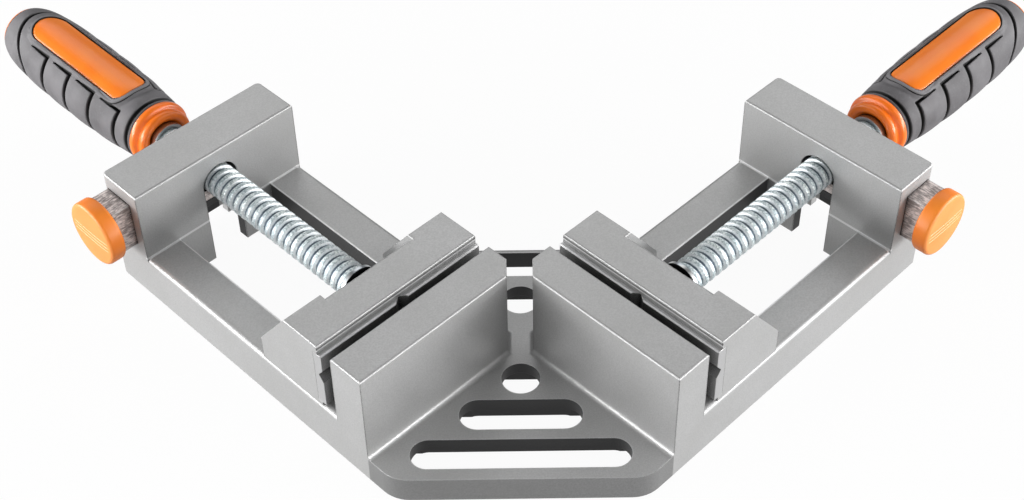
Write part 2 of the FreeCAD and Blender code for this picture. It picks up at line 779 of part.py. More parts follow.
def spun(body, places, cut=False, arcs=None):
    """Turns a profile of (along, radius) places about the screw's centre line."""
    drawing = sketch(body, "XZ_Plane")
    axis_line(drawing, size("screw_height"))
    centre = size("screw_height")
    polygon(drawing, [(x, centre + radius) for x, radius in places], arcs)
    turned(body, drawing, cut)


keeper_middle = size("keeper_start") + size("keeper_length") / 2
pad_low = lip_low - size("pad_height")
bar_low = size("bar_centre") - size("bar_height") / 2
bar_high = size("bar_centre") + size("bar_height") / 2
grip_radius = size("grip_middle") / 2
core_radius = size("core_diameter") / 2
shank_radius = size("shank_diameter") / 2
joint_room = 0.05
GRIP_STEPS = (0.2, 0.4, 0.6, 0.75, 0.87, 0.95, 1.0)


def moving_jaw(name, left):
    """The sliding casting: two ears on the rails, a hub on the screw, a guide tongue."""
    body = new_body(name)
    top = size("mover_top")
    foot_back = size("mover_foot_back")
    drawing = sketch(body, "XZ_Plane")
    polygon(drawing, [
        (size("mover_front"), foot_low),
        (foot_back, foot_low),
        (foot_back, foot_low + size("mover_foot_height")),
        (size("mover_ear_back"), top),
        (size("mover_front"), top),
    ])
    pad(body, drawing, size("arm_width"), both=True)
    drawing = sketch(body, "XZ_Plane")
    web_top = foot_low + size("mover_foot_web")
    polygon(drawing, [
        (size("mover_middle_back"), top + 1.0),
        (foot_back + 1.0, top + 1.0),
        (foot_back + 1.0, foot_low - 1.0),
        (size("mover_middle_foot"), foot_low - 1.0),
        (size("mover_middle_foot"), web_top),
        (size("mover_hub_back"), web_top),
        (size("mover_hub_back"), top - 10.0),
        (size("mover_middle_back"), top),
    ])
    pocket(body, drawing, size("arm_width") - size("mover_ear_width") * 2, both=True)
    side = rail_inner - size("slide_clearance")
    block(body, (size("tongue_start"), size("mover_middle_foot")), (-side, side),
          keeper_high, foot_low + 1.0)
    beyond = half_arm + 1.0
    block(body, (size("mover_front") - 1.0, pad_back), (-beyond, beyond),
          pad_low, lip_low, cut=True)
    bore(body, (0.0, size("screw_height")),
         size("journal_diameter") + size("journal_clearance") * 2,
         size("mover_hub_back") - size("journal_length") - 0.6,
         size("mover_hub_back"))
    for side in (-1.0, 1.0):
        drill(body, (hub_neck, pin_offset * side), size("retaining_pin"),
              keeper_high - 1.0, size("screw_height") + 5.0)
        drill(body, (keeper_middle, size("keeper_screw_place") * side),
              size("keeper_screw_diameter"), keeper_high - 1.0,
              keeper_low + size("keeper_screw_length") + 0.5)
        bore(body, (size("pad_screw_place") * side, size("pad_screw_height")),
             size("pad_screw_diameter"), pad_back - 1.0,
             pad_front + size("pad_screw_length") + 0.5)

    def top_edge(one, two):
        return near(one.z, values["mover_top"]) and near(two.z, values["mover_top"])

    soften(body, size("edge_round") * 0.8, top_edge)
    set_on_arm(body, left)
    return body


def jaw_pad(name, left):
    """The machined clamp plate with one level and one upright vee groove."""
    body = new_body(name)
    bevel = 0.6
    half = size("groove_width") / 2
    drawing = sketch(body, "XZ_Plane")
    polygon(drawing, [
        (pad_front, pad_low),
        (pad_back, pad_low),
        (pad_back, lip_low),
        (pad_front + bevel, lip_low),
        (pad_front, lip_low - bevel),
        (pad_front, size("groove_height") + half),
        (pad_front + size("groove_depth"), size("groove_height")),
        (pad_front, size("groove_height") - half),
    ])
    pad(body, drawing, size("arm_width"), both=True)
    drawing = sketch(body, "XY_Plane", lip_low + 1.0)
    polygon(drawing, [
        (pad_front, -half),
        (pad_front + size("groove_depth"), 0.0),
        (pad_front, half),
        (pad_front - 1.0, half),
        (pad_front - 1.0, -half),
    ])
    pocket(body, drawing, size("pad_height") + 2.0)
    for side in (-1.0, 1.0):
        bore(body, (size("pad_screw_place") * side, size("pad_screw_height")),
             size("pad_screw_diameter") + 0.2, pad_front - 1.0, pad_back + 1.0)

    def front_rim(centre):
        return near(centre.x, values["pad_gap"])

    sink = (size("pad_screw_head") - size("pad_screw_diameter")) / 2
    soften_rings(body, sink, values["pad_screw_diameter"] / 2 + 0.1, front_rim,
                 "PartDesign::Chamfer")
    set_on_arm(body, left)
    return body


def pad_screws(name, left):
    """Two countersunk screws that hold the clamp plate."""
    body = new_body(name)
    shank = size("pad_screw_diameter") / 2
    head = size("pad_screw_head") / 2
    face = pad_front + 0.3
    end = pad_front + size("pad_screw_length")
    for side in (-1.0, 1.0):
        drawing = sketch(body, "XZ_Plane", size("pad_screw_place") * side)
        height = size("pad_screw_height")
        axis_line(drawing, height)
        polygon(drawing, [
            (face, height),
            (face, height + head - 0.3),
            (face + head - shank, height + shank - 0.3),
            (face + head - shank, height + shank),
            (end, height + shank),
            (end, height),
        ])
        turned(body, drawing)
    set_on_arm(body, left)
    return body


def keeper_plate(name, left):
    """The steel plate under the tongue that hooks below both rails."""
    body = new_body(name)
    reach = rail_inner + size("keeper_overlap")
    block(body, (size("keeper_start"), size("keeper_start") + size("keeper_length")),
          (-reach, reach), keeper_low, keeper_high)
    for side in (-1.0, 1.0):
        drill(body, (keeper_middle, size("keeper_screw_place") * side),
              size("keeper_screw_diameter") + 0.3, keeper_low - 1.0, keeper_high + 1.0)

    def corner(one, two):
        return near(one.x, two.x) and near(one.y, two.y)

    soften(body, size("keeper_thickness") / 2, corner)
    set_on_arm(body, left)
    return body


def keeper_screws(name, left):
    """Two pan-head screws that hold the keeper plate up against the tongue."""
    body = new_body(name)
    for side in (-1.0, 1.0):
        place = (keeper_middle, size("keeper_screw_place") * side)
        post(body, place, size("keeper_screw_head"),
             keeper_low - size("keeper_head_height"), keeper_low)
        post(body, place, size("keeper_screw_diameter"),
             keeper_low - 0.1, keeper_low + size("keeper_screw_length"))
    set_on_arm(body, left)
    return body


def thrust_washer(name, left):
    """The washer between the screw's shoulder and the hub."""
    body = new_body(name)
    back = size("mover_hub_back")
    centre = (0.0, size("screw_height"))
    rod(body, centre, size("washer_diameter"), back, back + size("washer_thickness"))
    bore(body, centre, size("journal_diameter") + size("journal_clearance") * 4,
         back - 1.0, back + size("washer_thickness") + 1.0)
    set_on_arm(body, left)
    return body


def retaining_pins(name, left):
    """Two pins that straddle the screw's neck and keep it in the moving jaw."""
    body = new_body(name)
    for side in (-1.0, 1.0):
        post(body, (hub_neck, pin_offset * side), size("retaining_pin"),
             keeper_high, size("screw_height") + 4.5)
    set_on_arm(body, left)
    return body


def screw_spindle(name, left):
    """The screw: necked journal, threaded length and plain shank, turned in one."""
    body = new_body(name)
    back = size("mover_hub_back")
    shoulder = back + size("washer_thickness")
    start = back - size("journal_length")
    journal = size("journal_diameter") / 2
    neck = size("neck_diameter") / 2
    half_neck = size("retaining_pin") / 2 + size("retaining_room")
    crest = size("screw_diameter") / 2
    spun(body, [
        (start, 0.0),
        (start, journal - 0.8),
        (start + 0.8, journal),
        (hub_neck - half_neck, journal),
        (hub_neck - half_neck, neck),
        (hub_neck + half_neck, neck),
        (hub_neck + half_neck, journal),
        (shoulder, journal),
        (shoulder, crest - 1.0),
        (shoulder + 1.0, crest),
        (size("thread_end") - 1.0, crest),
        (size("thread_end"), shank_radius),
        (size("shank_end"), shank_radius),
        (size("shank_end"), 0.0),
    ])
    pin_hole = sketch(body, "XZ_Plane")
    circle(pin_hole, (size("handle_pin_place"), size("screw_height")),
           size("handle_pin_diameter"))
    pocket(body, pin_hole, size("screw_diameter") * 2, both=True)
    set_on_arm(body, left)
    return body


def grip_outline(inset, start, stop):
    """Points down the swelling grip, a set depth below its surface."""
    middle = size("grip_middle_place")
    near_reach = size("grip_start") - middle
    far_reach = size("grip_end") - middle
    near_drop = grip_radius - size("grip_near") / 2
    far_drop = grip_radius - size("grip_far") / 2
    shoulder = (size("grip_far") - size("grip_tip")) / 2
    steps = []
    for share in GRIP_STEPS[::-1]:
        steps.append((middle + near_reach * share,
                      grip_radius - near_drop * share ** 2 - inset))
    for share in (0.0,) + GRIP_STEPS:
        drop = far_drop * share ** 2 + shoulder * share ** 8
        steps.append((middle + far_reach * share, grip_radius - drop - inset))
    return steps[start:stop]


def handle_core(name, left):
    """The hard handle moulding: stepped collar, tube, domed end and raised inlay."""
    body = new_body(name)
    mouth = size("ferrule_diameter") / 2 + joint_room
    seat = size("handle_start") + size("ferrule_length") / 2
    flare = size("flare_diameter") / 2
    collar = size("collar_diameter") / 2
    start = size("handle_start")
    hole = shank_radius + joint_room
    bottom = size("shank_end") + 0.5
    dome = size("grip_tip") / 2 - 0.5
    end = size("grip_end")
    places = [
        (seat, hole),
        (seat, mouth),
        (start, mouth),
        (start, flare - 1.8),
        (start + 0.6, flare - 0.6),
        (start + 2.0, flare),
        (start + 3.4, flare),
        (start + 4.2, collar - 0.8),
        (start + 5.2, collar),
        (size("grip_start"), collar),
        (size("grip_start"), core_radius),
        (size("grip_middle_place"), core_radius),
        (end, dome - 1.6),
        (end, dome),
    ]
    for step in range(1, 5):
        turn = math.radians(90.0 * step / 4)
        places.append((end + size("dome_length") * math.sin(turn),
                       dome * (0.0 if step == 4 else math.cos(turn))))
    places += [(bottom, 0.0), (bottom, hole)]
    spun(body, places)

    half = size("inlay_width") / 2
    drawing = sketch(body, "XY_Plane", size("screw_height") + core_radius / 2)
    oblong(drawing, (size("inlay_start") + half, 0.0),
           (size("inlay_end") - half, 0.0), size("inlay_width"))
    pad(body, drawing, size("grip_middle") / 2)
    reach = size("grip_middle")
    surface = grip_outline(size("inlay_sink"), 0, 15)
    spun(body, surface + [(size("grip_end"), reach), (size("grip_start"), reach)],
         cut=True)
    pin_hole = sketch(body, "XZ_Plane")
    circle(pin_hole, (size("handle_pin_place"), size("screw_height")),
           size("handle_pin_diameter"))
    pocket(body, pin_hole, size("core_diameter") * 2, both=True)
    set_on_arm(body, left)
    return body


def handle_grip(name, left):
    """The rubber sleeve with its inlay window and moulded finger grooves."""
    body = new_body(name)
    dome = size("grip_tip") / 2 - 0.5
    spun(body, grip_outline(0.0, 0, 15) + [
        (size("grip_end"), dome - 1.6),
        (size("grip_middle_place"), core_radius),
        (size("grip_start"), core_radius),
    ])
    half = size("inlay_width") / 2
    width = size("inlay_width") + size("inlay_fit") * 2
    drawing = sketch(body, "XY_Plane", size("screw_height") + size("grip_middle"))
    oblong(drawing, (size("inlay_start") + half, 0.0),
           (size("inlay_end") - half, 0.0), width)
    pocket(body, drawing, size("grip_middle") - core_radius / 2)

    depth = size("ring_groove_depth")
    half_ring = size("ring_groove_width") / 2
    ring = size("grip_start") + size("ring_groove_place")
    spun(body, [
        (ring - half_ring, size("grip_near") / 2 + 1.0),
        (ring - half_ring / 2, size("grip_near") / 2 - depth),
        (ring + half_ring / 2, size("grip_near") / 2 - depth),
        (ring + half_ring, size("grip_near") / 2 + 1.0),
    ], cut=True)
    set_on_arm(body, left)
    return body


def handle_ferrule(name, left):
    """The steel ring in the mouth of the handle."""
    body = new_body(name)
    half = size("ferrule_length") / 2
    centre = (0.0, size("screw_height"))
    near_end = size("handle_start") - half
    rod(body, centre, size("ferrule_diameter"), near_end, size("handle_start") + half)
    bore(body, centre, size("shank_diameter") + joint_room * 2, near_end - 1.0,
         size("handle_start") + half + 1.0)
    set_on_arm(body, left)
    return body


def handle_pin(name, left):
    """The cross pin that locks the handle to the screw's shank."""
    body = new_body(name)
    drawing = sketch(body, "XZ_Plane")
    circle(drawing, (size("handle_pin_place"), size("screw_height")),
           size("handle_pin_diameter"))
    pad(body, drawing, size("handle_pin_length"), both=True)
    set_on_arm(body, left)
    return body


def slide_bar(name, left):
    """The sliding half nut: a bar with an oblong eye whose inner end bears on the screw."""
    body = new_body(name)
    out = 1.0 if left else -1.0
    end = half_arm + size("button_gap")
    block(body, (size("bar_start"), bar_back),
          (size("bar_inner") * -out, end * out), bar_low, bar_high)
    tang_half = size("tang_width") / 2
    block(body, (bar_middle - tang_half, bar_middle + tang_half),
          ((end - 1.0) * out, (end + size("tang_length")) * out),
          size("bar_centre") - size("tang_height") / 2,
          size("bar_centre") + size("tang_height") / 2)
    eye = size("screw_diameter") + joint_room * 2
    drawing = sketch(body, "YZ_Plane", bar_back + 1.0)
    reach = size("release_travel") + 0.4
    oblong(drawing, (0.0, size("screw_height")), (reach * out, size("screw_height")), eye)
    pocket(body, drawing, size("bar_thickness") + 2.0)
    drawing = sketch(body, "XY_Plane", bar_low + 7.5)
    place = size("stop_pin_place")
    oblong(drawing, (bar_middle, (place - 0.05) * out),
           (bar_middle, (place + size("release_travel") + 0.3) * out),
           size("stop_pin_diameter") + 0.3)
    pocket(body, drawing, 8.5)
    drawing = sketch(body, "XZ_Plane", size("bar_inner") * out)
    circle(drawing, (bar_middle, size("bar_centre")), size("spring_bore"))
    room = (cavity_end - size("spring_length") - size("release_travel")
            - size("release_rest"))
    pocket(body, drawing, size("bar_inner") - room, back=not left)
    set_on_arm(body, left)
    return body


def release_button(name, left):
    """The round thumb button pressed on the slide bar's tang."""
    body = new_body(name)
    out = 1.0 if left else -1.0
    face = (half_arm + size("button_gap")) * -out
    drawing = sketch(body, "XZ_Plane", face)
    circle(drawing, (bar_middle, size("bar_centre")), size("button_diameter"))
    pad(body, drawing, size("button_thickness"), back=left)

    def any_rim(centre):
        return True

    soften_rings(body, size("button_round"), values["button_diameter"] / 2, any_rim)
    drawing = sketch(body, "XZ_Plane", face)
    tang_half = size("tang_width") / 2 + joint_room
    rise = size("tang_height") / 2 + joint_room
    rectangle(drawing, (bar_middle - tang_half, size("bar_centre") - rise),
              (bar_middle + tang_half, size("bar_centre") + rise))
    pocket(body, drawing, size("tang_length") + 0.1, back=not left)
    set_on_arm(body, left)
    return body


def return_spring(name, left):
    """The coil spring between the blind end of the channel and the slide bar."""
    body = new_body(name)
    out = 1.0 if left else -1.0
    wire = size("spring_wire")
    drawing = sketch(body, "XY_Plane", size("bar_centre"))
    bind(drawing, "AttachmentOffset.Base.x", bar_middle)
    circle(drawing, ((size("spring_diameter") - wire) / 2,
                     (cavity_end - wire / 2 - joint_room) * -out), wire)
    feature = body.newObject("PartDesign::AdditiveHelix", name + "_coil")
    feature.Profile = drawing
    feature.ReferenceAxis = (drawing, ["V_Axis"])
    feature.Mode = "height-turns-angle"
    feature.Reversed = not left
    bind(feature, "Height", size("spring_length") - wire)
    bind(feature, "Turns", size("spring_turns"))
    set_on_arm(body, left)
    return body


def stop_pin(name, left):
    """The pin in the block's floor that keeps the slide bar from coming out."""
    body = new_body(name)
    out = 1.0 if left else -1.0
    low = cavity_low - size("stop_pin_grip")
    post(body, (bar_middle, size("stop_pin_place") * out), size("stop_pin_diameter"),
         low, low + size("stop_pin_length"))
    set_on_arm(body, left)
    return body


PIECES = [
    moving_jaw, jaw_pad, pad_screws, keeper_plate, keeper_screws, thrust_washer,
    retaining_pins, screw_spindle, handle_core, handle_grip, handle_ferrule,
    handle_pin, slide_bar, release_button, return_spring, stop_pin,
]
for left in (True, False):
    for piece in PIECES:
        label = ("left_" if left else "right_") + piece.__name__
        finish(piece(label, left), label)
doc.recompute()

for thing in doc.Objects:
    if "Invalid" in thing.State or "Error" in thing.State:
        raise RuntimeError(f"{thing.Label} did not rebuild")
os.makedirs("parts", exist_ok=True)
for thing in PARTS:
    if thing.Shape.isNull() or not thing.Shape.isValid():
        raise RuntimeError(f"{thing.Label} has no valid shape")
    thing.Shape.exportStep(f"parts/{thing.Label}.step")
    print(thing.Label, len(thing.Shape.Solids), round(thing.Shape.Volume))
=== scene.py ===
import math

import bmesh
import bpy
import numpy as np
from mathutils import Matrix


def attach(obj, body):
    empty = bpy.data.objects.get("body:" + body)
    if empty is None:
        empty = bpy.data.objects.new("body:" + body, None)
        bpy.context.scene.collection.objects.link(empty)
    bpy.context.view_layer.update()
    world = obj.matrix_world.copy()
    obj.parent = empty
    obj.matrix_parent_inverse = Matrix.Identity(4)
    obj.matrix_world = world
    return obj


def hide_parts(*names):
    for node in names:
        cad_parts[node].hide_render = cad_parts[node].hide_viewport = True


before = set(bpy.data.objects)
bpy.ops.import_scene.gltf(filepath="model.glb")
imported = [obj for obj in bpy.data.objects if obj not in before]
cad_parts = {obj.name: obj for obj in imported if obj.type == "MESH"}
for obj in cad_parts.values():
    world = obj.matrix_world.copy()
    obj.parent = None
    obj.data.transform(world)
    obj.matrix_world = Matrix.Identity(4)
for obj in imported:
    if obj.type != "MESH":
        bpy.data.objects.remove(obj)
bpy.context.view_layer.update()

# Bench, lamps and camera
# The clamp lies on a pale bench under wide soft lamps, seen from above its open corner.


class Value:
    """A node's output in a finish. Sums on it add one Math node for each operator."""

    def __init__(self, finish, socket):
        self.finish = finish
        self.socket = socket

    def maths(self, operation, *others):
        """One Math node on this value and the others, in order."""
        places = dict(enumerate((self,) + others))
        return self.finish.node("Math", {"operation": operation}, places)

    def __add__(self, other):
        return self.maths("ADD", other)

    def __sub__(self, other):
        return self.maths("SUBTRACT", other)

    def __rsub__(self, other):
        return (self * -1.0).maths("ADD", other)

    def __mul__(self, other):
        return self.maths("MULTIPLY", other)

    def __abs__(self):
        return self.maths("ABSOLUTE")

    __radd__ = __add__
    __rmul__ = __mul__

    def step(self, low, high):
        """0 below low and 1 above high, with a smooth rise between them."""
        places = {"Value": self, 1: low, 2: high, 3: 0.0, 4: 1.0}
        return self.finish.node("MapRange", {"interpolation_type": "SMOOTHSTEP"}, places)


class Finish:
    """A procedural material for one of the clamp's finishes."""

    def __init__(self, name):
        self.material = bpy.data.materials.new(name)
        self.material.use_nodes = True
        self.nodes = self.material.node_tree.nodes
        self.links = self.material.node_tree.links
        self.nodes.clear()

    def node(self, kind, settings=None, places=None, output=0):
        """Any node, from its type, its settings and the values or links of its sockets."""
        made = self.nodes.new("ShaderNode" + kind)
        for field, setting in (settings or {}).items():
            setattr(made, field, setting)
        for place, value in (places or {}).items():
            if isinstance(value, Value):
                self.links.new(value.socket, made.inputs[place])
            else:
                made.inputs[place].default_value = value
        return Value(self, made.outputs[output])

    def mix(self, share, first, second):
        """The first colour where share is 0 and the second where it is 1."""
        return self.node("Mix", {"data_type": "RGBA"}, {0: share, 6: first, 7: second},
                         output=2)

    def layers(self, colour, *marks):
        """A colour with marks laid over it in turn, each a share and a colour."""
        for share, mark in marks:
            colour = self.mix(share, colour, mark)
        return colour

    def part(self, vector, axis):
        """One part of a vector: 0 for x, 1 for y and 2 for z."""
        return self.node("SeparateXYZ", None, {0: vector}, output=axis)

    def normal(self):
        """The true normal of the surface."""
        return self.node("NewGeometry", output="Normal")

    def rounded(self, radius):
        """The normal as it would be if every edge had a radius in metres."""
        return self.node("Bevel", {"samples": 4}, {"Radius": radius})

    def edges(self, rounded):
        """1 along the edges, where a rounded normal turns away from the true one."""
        turn = self.node("VectorMath", {"operation": "DOT_PRODUCT"},
                         {0: rounded, 1: self.normal()}, output="Value")
        return 1.0 - turn.step(0.80, 0.995)

    def leaning(self, low, high):
        """1 on faces whose normal rises by more than low and less than high, as pairs of
        limits with a smooth rise between them."""
        tilt = abs(self.part(self.normal(), 2))
        return tilt.step(*low) * (1.0 - tilt.step(*high))

    def place(self):
        """The point on the piece, in metres, at rest."""
        return self.node("TexCoord", output="Object")

    def grain(self, place, scale, detail=3.0, roughness=0.5):
        """Noise from 0 to 1 with so many cells in a metre."""
        return self.node("TexNoise", None, {"Vector": place, "Scale": scale,
                                            "Detail": detail, "Roughness": roughness})

    def arm_measures(self, place):
        """Along the screw, across it and up, in metres, the same on both arms: along is
        (|x| + y) and across is (|x| - y), each over root two."""
        x, y, z = (self.part(place, axis) for axis in range(3))
        x = abs(x)
        return (x + y) * math.sqrt(0.5), (x - y) * math.sqrt(0.5), z

    def recess(self, reach, own=True):
        """How open a point is to the air within a reach in metres: 0 deep in a recess and 1
        on an open face. Own counts only the piece's own walls."""
        return self.node("AmbientOcclusion", {"samples": 6, "only_local": own},
                         {"Distance": reach}, output="AO")

    def bump(self, height, depth, normal=None):
        """A height map from 0 to 1, so many metres deep."""
        places = {"Height": height, "Strength": 1.0, "Distance": depth}
        if normal is not None:
            places["Normal"] = normal
        return self.node("Bump", None, places)

    def skin(self, **places):
        """The Principled surface, named by its sockets with spaces left out."""
        named = {}
        made = self.nodes.new("ShaderNodeBsdfPrincipled")
        for socket in made.inputs:
            named[socket.name.replace(" ", "")] = socket
        for name, value in places.items():
            if isinstance(value, Value):
                self.links.new(value.socket, named[name])
            else:
                named[name].default_value = value
        return Value(self, made.outputs[0])

    def done(self, surface):
        """Ends the finish at its output."""
        ending = self.nodes.new("ShaderNodeOutputMaterial")
        self.links.new(surface.socket, ending.inputs["Surface"])
        return self.material


def grey(level):
    """A neutral colour."""
    return (level, level, level, 1.0)


def light_paths(finish):
    """1 for rays from the camera and for rays that metal or glass mirrors."""
    ray = finish.nodes.new("ShaderNodeLightPath")
    seen = Value(finish, ray.outputs["Is Camera Ray"])
    glossy = Value(finish, ray.outputs["Is Glossy Ray"])
    through = Value(finish, ray.outputs["Is Transmission Ray"])
    return seen, glossy.maths("MAXIMUM", through)


bench = Finish("bench")
seen, mirrored = light_paths(bench)
cloud = bench.grain(bench.place(), 3.0)
paper = bench.mix(cloud.step(0.3, 0.7), grey(0.94), grey(0.96))
shade = bench.mix(seen, grey(0.26), paper)
matt = bench.skin(BaseColor=shade, Roughness=0.9)
white = bench.node("Emission", None, {"Color": grey(1.0), "Strength": 1.0})
share = (seen * 0.95 + mirrored * 0.58).maths("MINIMUM", 1.0)
bench_finish = bench.done(bench.node("MixShader", None, {0: share, 1: matt, 2: white}))

# Half the bench's width in metres.
REACH = 6.0
bench_mesh = bpy.data.meshes.new("bench_top")
bench_mesh.from_pydata([(-REACH, -REACH, 0.0), (REACH, -REACH, 0.0),
                        (REACH, REACH, 0.0), (-REACH, REACH, 0.0)], [], [(0, 1, 2, 3)])
bench_mesh.materials.append(bench_finish)
bench_top = bpy.data.objects.new("bench_top", bench_mesh)
bpy.context.scene.collection.objects.link(bench_top)

room = bpy.data.worlds.new("room")
bpy.context.scene.world = room
room.use_nodes = True
room_nodes = room.node_tree.nodes
room_nodes.clear()
room_ray = room_nodes.new("ShaderNodeLightPath")
backdrop = room_nodes.new("ShaderNodeBackground")
backdrop.inputs["Color"].default_value = grey(1.0)
backdrop.inputs["Strength"].default_value = 1.0
fill = room_nodes.new("ShaderNodeBackground")
fill.inputs["Color"].default_value = (0.97, 0.985, 1.0, 1.0)
fill.inputs["Strength"].default_value = 0.12
room_mix = room_nodes.new("ShaderNodeMixShader")
room_out = room_nodes.new("ShaderNodeOutputWorld")
room.node_tree.links.new(room_ray.outputs["Is Camera Ray"], room_mix.inputs[0])
room.node_tree.links.new(fill.outputs[0], room_mix.inputs[1])
room.node_tree.links.new(backdrop.outputs[0], room_mix.inputs[2])
room.node_tree.links.new(room_mix.outputs[0], room_out.inputs[0])

# Each lamp: name, place, the point it faces, width, height, power in watts.
LAMPS = [
    ("rear", (0.0, 1.50, 1.30), (0.0, 0.1, 0.03), 2.6, 1.0, 10.5),
    ("left_low", (-1.30, -0.16, 0.24), (0.0, 0.0, 0.03), 2.0, 0.44, 31.5),
    ("right_low", (1.30, -0.16, 0.24), (0.0, 0.0, 0.03), 2.0, 0.44, 30.0),
    ("left_high", (-1.05, -0.30, 1.00), (0.0, 0.0, 0.03), 0.8, 0.8, 2.4),
    ("right_high", (1.05, -0.30, 1.00), (0.0, 0.0, 0.03), 0.8, 0.8, 2.4),
    ("front", (0.0, -1.30, 0.95), (0.0, -0.02, 0.02), 1.6, 0.8, 1.5),
]


def facing(place, target):
    """A turn that points local -Z from one point to another, with +X level."""
    back = np.array(place) - np.array(target)
    back /= np.linalg.norm(back)
    right = np.cross((0.0, 0.0, 1.0), back)
    right /= np.linalg.norm(right)
    up = np.cross(back, right)
    return Matrix(np.column_stack((right, up, back)).tolist()).to_4x4()


for name, place, target, width, height, power in LAMPS:
    lamp = bpy.data.lights.new(name, "AREA")
    lamp.shape = "RECTANGLE"
    lamp.size, lamp.size_y, lamp.energy = width, height, power
    hung = bpy.data.objects.new(name, lamp)
    hung.matrix_world = Matrix.Translation(place) @ facing(place, target)
    bpy.context.scene.collection.objects.link(hung)

# The camera as fitted to the photo: its place in metres, its turns, and its focal length
# and middle in pixels of the picture.
EYE = (0.003778, -0.471835, 0.515671)
YAW, PITCH, ROLL = math.radians(0.7818), math.radians(41.4292), math.radians(-0.0883)
PICTURE_WIDTH, PICTURE_HEIGHT = 1024.0, 500.0
FOCAL, MIDDLE_X, MIDDLE_Y = 1703.758, 545.498, 136.783
SENSOR = 36.0
forward = np.array((math.sin(YAW) * math.cos(PITCH), math.cos(YAW) * math.cos(PITCH),
                    -math.sin(PITCH)))
level = np.array((math.cos(YAW), -math.sin(YAW), 0.0))
upward = np.cross(level, forward)
picture_right = level * math.cos(ROLL) + upward * math.sin(ROLL)
picture_up = upward * math.cos(ROLL) - level * math.sin(ROLL)
lens = bpy.data.cameras.new("eye")
lens.sensor_width = SENSOR
lens.lens = FOCAL / PICTURE_WIDTH * SENSOR
lens.shift_x = (PICTURE_WIDTH / 2.0 - MIDDLE_X) / PICTURE_WIDTH
lens.shift_y = (MIDDLE_Y - PICTURE_HEIGHT / 2.0) / PICTURE_WIDTH
lens.clip_start, lens.clip_end = 0.01, 40.0
eye = bpy.data.objects.new("eye", lens)
eye.matrix_world = Matrix.Translation(EYE) @ Matrix(
    np.column_stack((picture_right, picture_up, -forward)).tolist()).to_4x4()
bpy.context.scene.collection.objects.link(eye)
bpy.context.scene.camera = eye
bpy.context.scene.view_settings.view_transform = "Standard"

# Base casting and moving jaws
# Both are pressure castings in light alloy, tumbled and blasted to a satin skin. Their colour
# carries painted highlights on level edges, and painted shade on upright edges, on the walls
# of holes, slots and rails and in creases. The jaws' sloping backs are painted darker, as
# painted shade, and are rougher here, so they don't clip.
MM = 0.001
# Where the faces lie, in mm: along the screw, across from its centre, up, and in x and y.
ARM_CENTRE = 56.25
JAW_FRONT, RAIL_START, BLOCK_START, KEYHOLE_END = -16.3, 12.0, 117.3, 139.4
MOVER_FACE, MOVER_SLOPE, MOVER_BACK = 7.4, 13.4, 60.0
RAIL_INSIDE, KEYHOLE_HALF = 23.45, 8.6
PLATE_TOP, RAIL_TOP, KEYHOLE_TOP = 11.7, 22.0, 48.2
SLOPE_LOW, SLOPE_HIGH, MOVER_TOP = 24.0, 53.3, 55.0
# How far under the lip of a moving jaw its light line and its dark line lie.
LIP_LIGHT, LIP_DARK = 2.3, 1.4
WEB_HALF, WEB_BACK = 28.0, 28.4
PLATE_HALF, PLATE_FRONT = 42.0, -85.5
# Half the width of the soft border of a mark, in mm.
BORDER = 0.15


def above(value, limit):
    """0 under a limit in mm and 1 above it."""
    return value.step((limit - BORDER) * MM, (limit + BORDER) * MM)


def below(value, limit):
    """1 under a limit in mm and 0 above it."""
    return 1.0 - above(value, limit)


def within(value, middle, reach):
    """1 within a reach of a middle, both in mm."""
    return below(abs(value - middle * MM), reach)


cast = Finish("satin_cast_alloy")
cast_place = cast.place()
cast_along, cast_across, cast_height = cast.arm_measures(cast_place)
cast_aside = abs(cast_across - ARM_CENTRE * MM)
cast_x = abs(cast.part(cast_place, 0))
cast_y = cast.part(cast_place, 1)
cast_wide = cast.rounded(0.0009)
cast_edge = cast.edges(cast_wide)
cast_rise = abs(cast.part(cast_wide, 2))
cast_steep = 1.0 - abs(cast.part(cast.normal(), 2)).step(0.3, 0.6)
cast_lean = cast.leaning((0.05, 0.30), (0.85, 0.99))

# Painted shade, near black, on walls: of the holes, slots and window, of the plate's outer
# rim, of the rails' inner sides, and of the keyhole that the screw and slide bar run through.
in_plate = below(cast_along, JAW_FRONT).maths(
    "MAXIMUM", below(cast_x, WEB_HALF) * below(cast_y, WEB_BACK))
inside_rim = below(cast_x, PLATE_HALF) * above(cast_y, PLATE_FRONT)
plate_wall = in_plate * below(cast_height, PLATE_TOP) * cast_steep
rail_wall = (within(cast_aside, RAIL_INSIDE, 0.4) * below(cast_height, RAIL_TOP - 0.5)
             * above(cast_along, RAIL_START) * below(cast_along, BLOCK_START - 0.3))
keyhole_wall = (below(cast_aside, KEYHOLE_HALF) * below(cast_height, KEYHOLE_TOP)
                * above(cast_along, BLOCK_START + 0.4) * below(cast_along, KEYHOLE_END))
wall_painted_shade = (plate_wall * inside_rim * 0.94 + plate_wall * (1.0 - inside_rim) * 0.48
             + rail_wall * 0.92 + keyhole_wall * 0.94).maths("MINIMUM", 0.94)
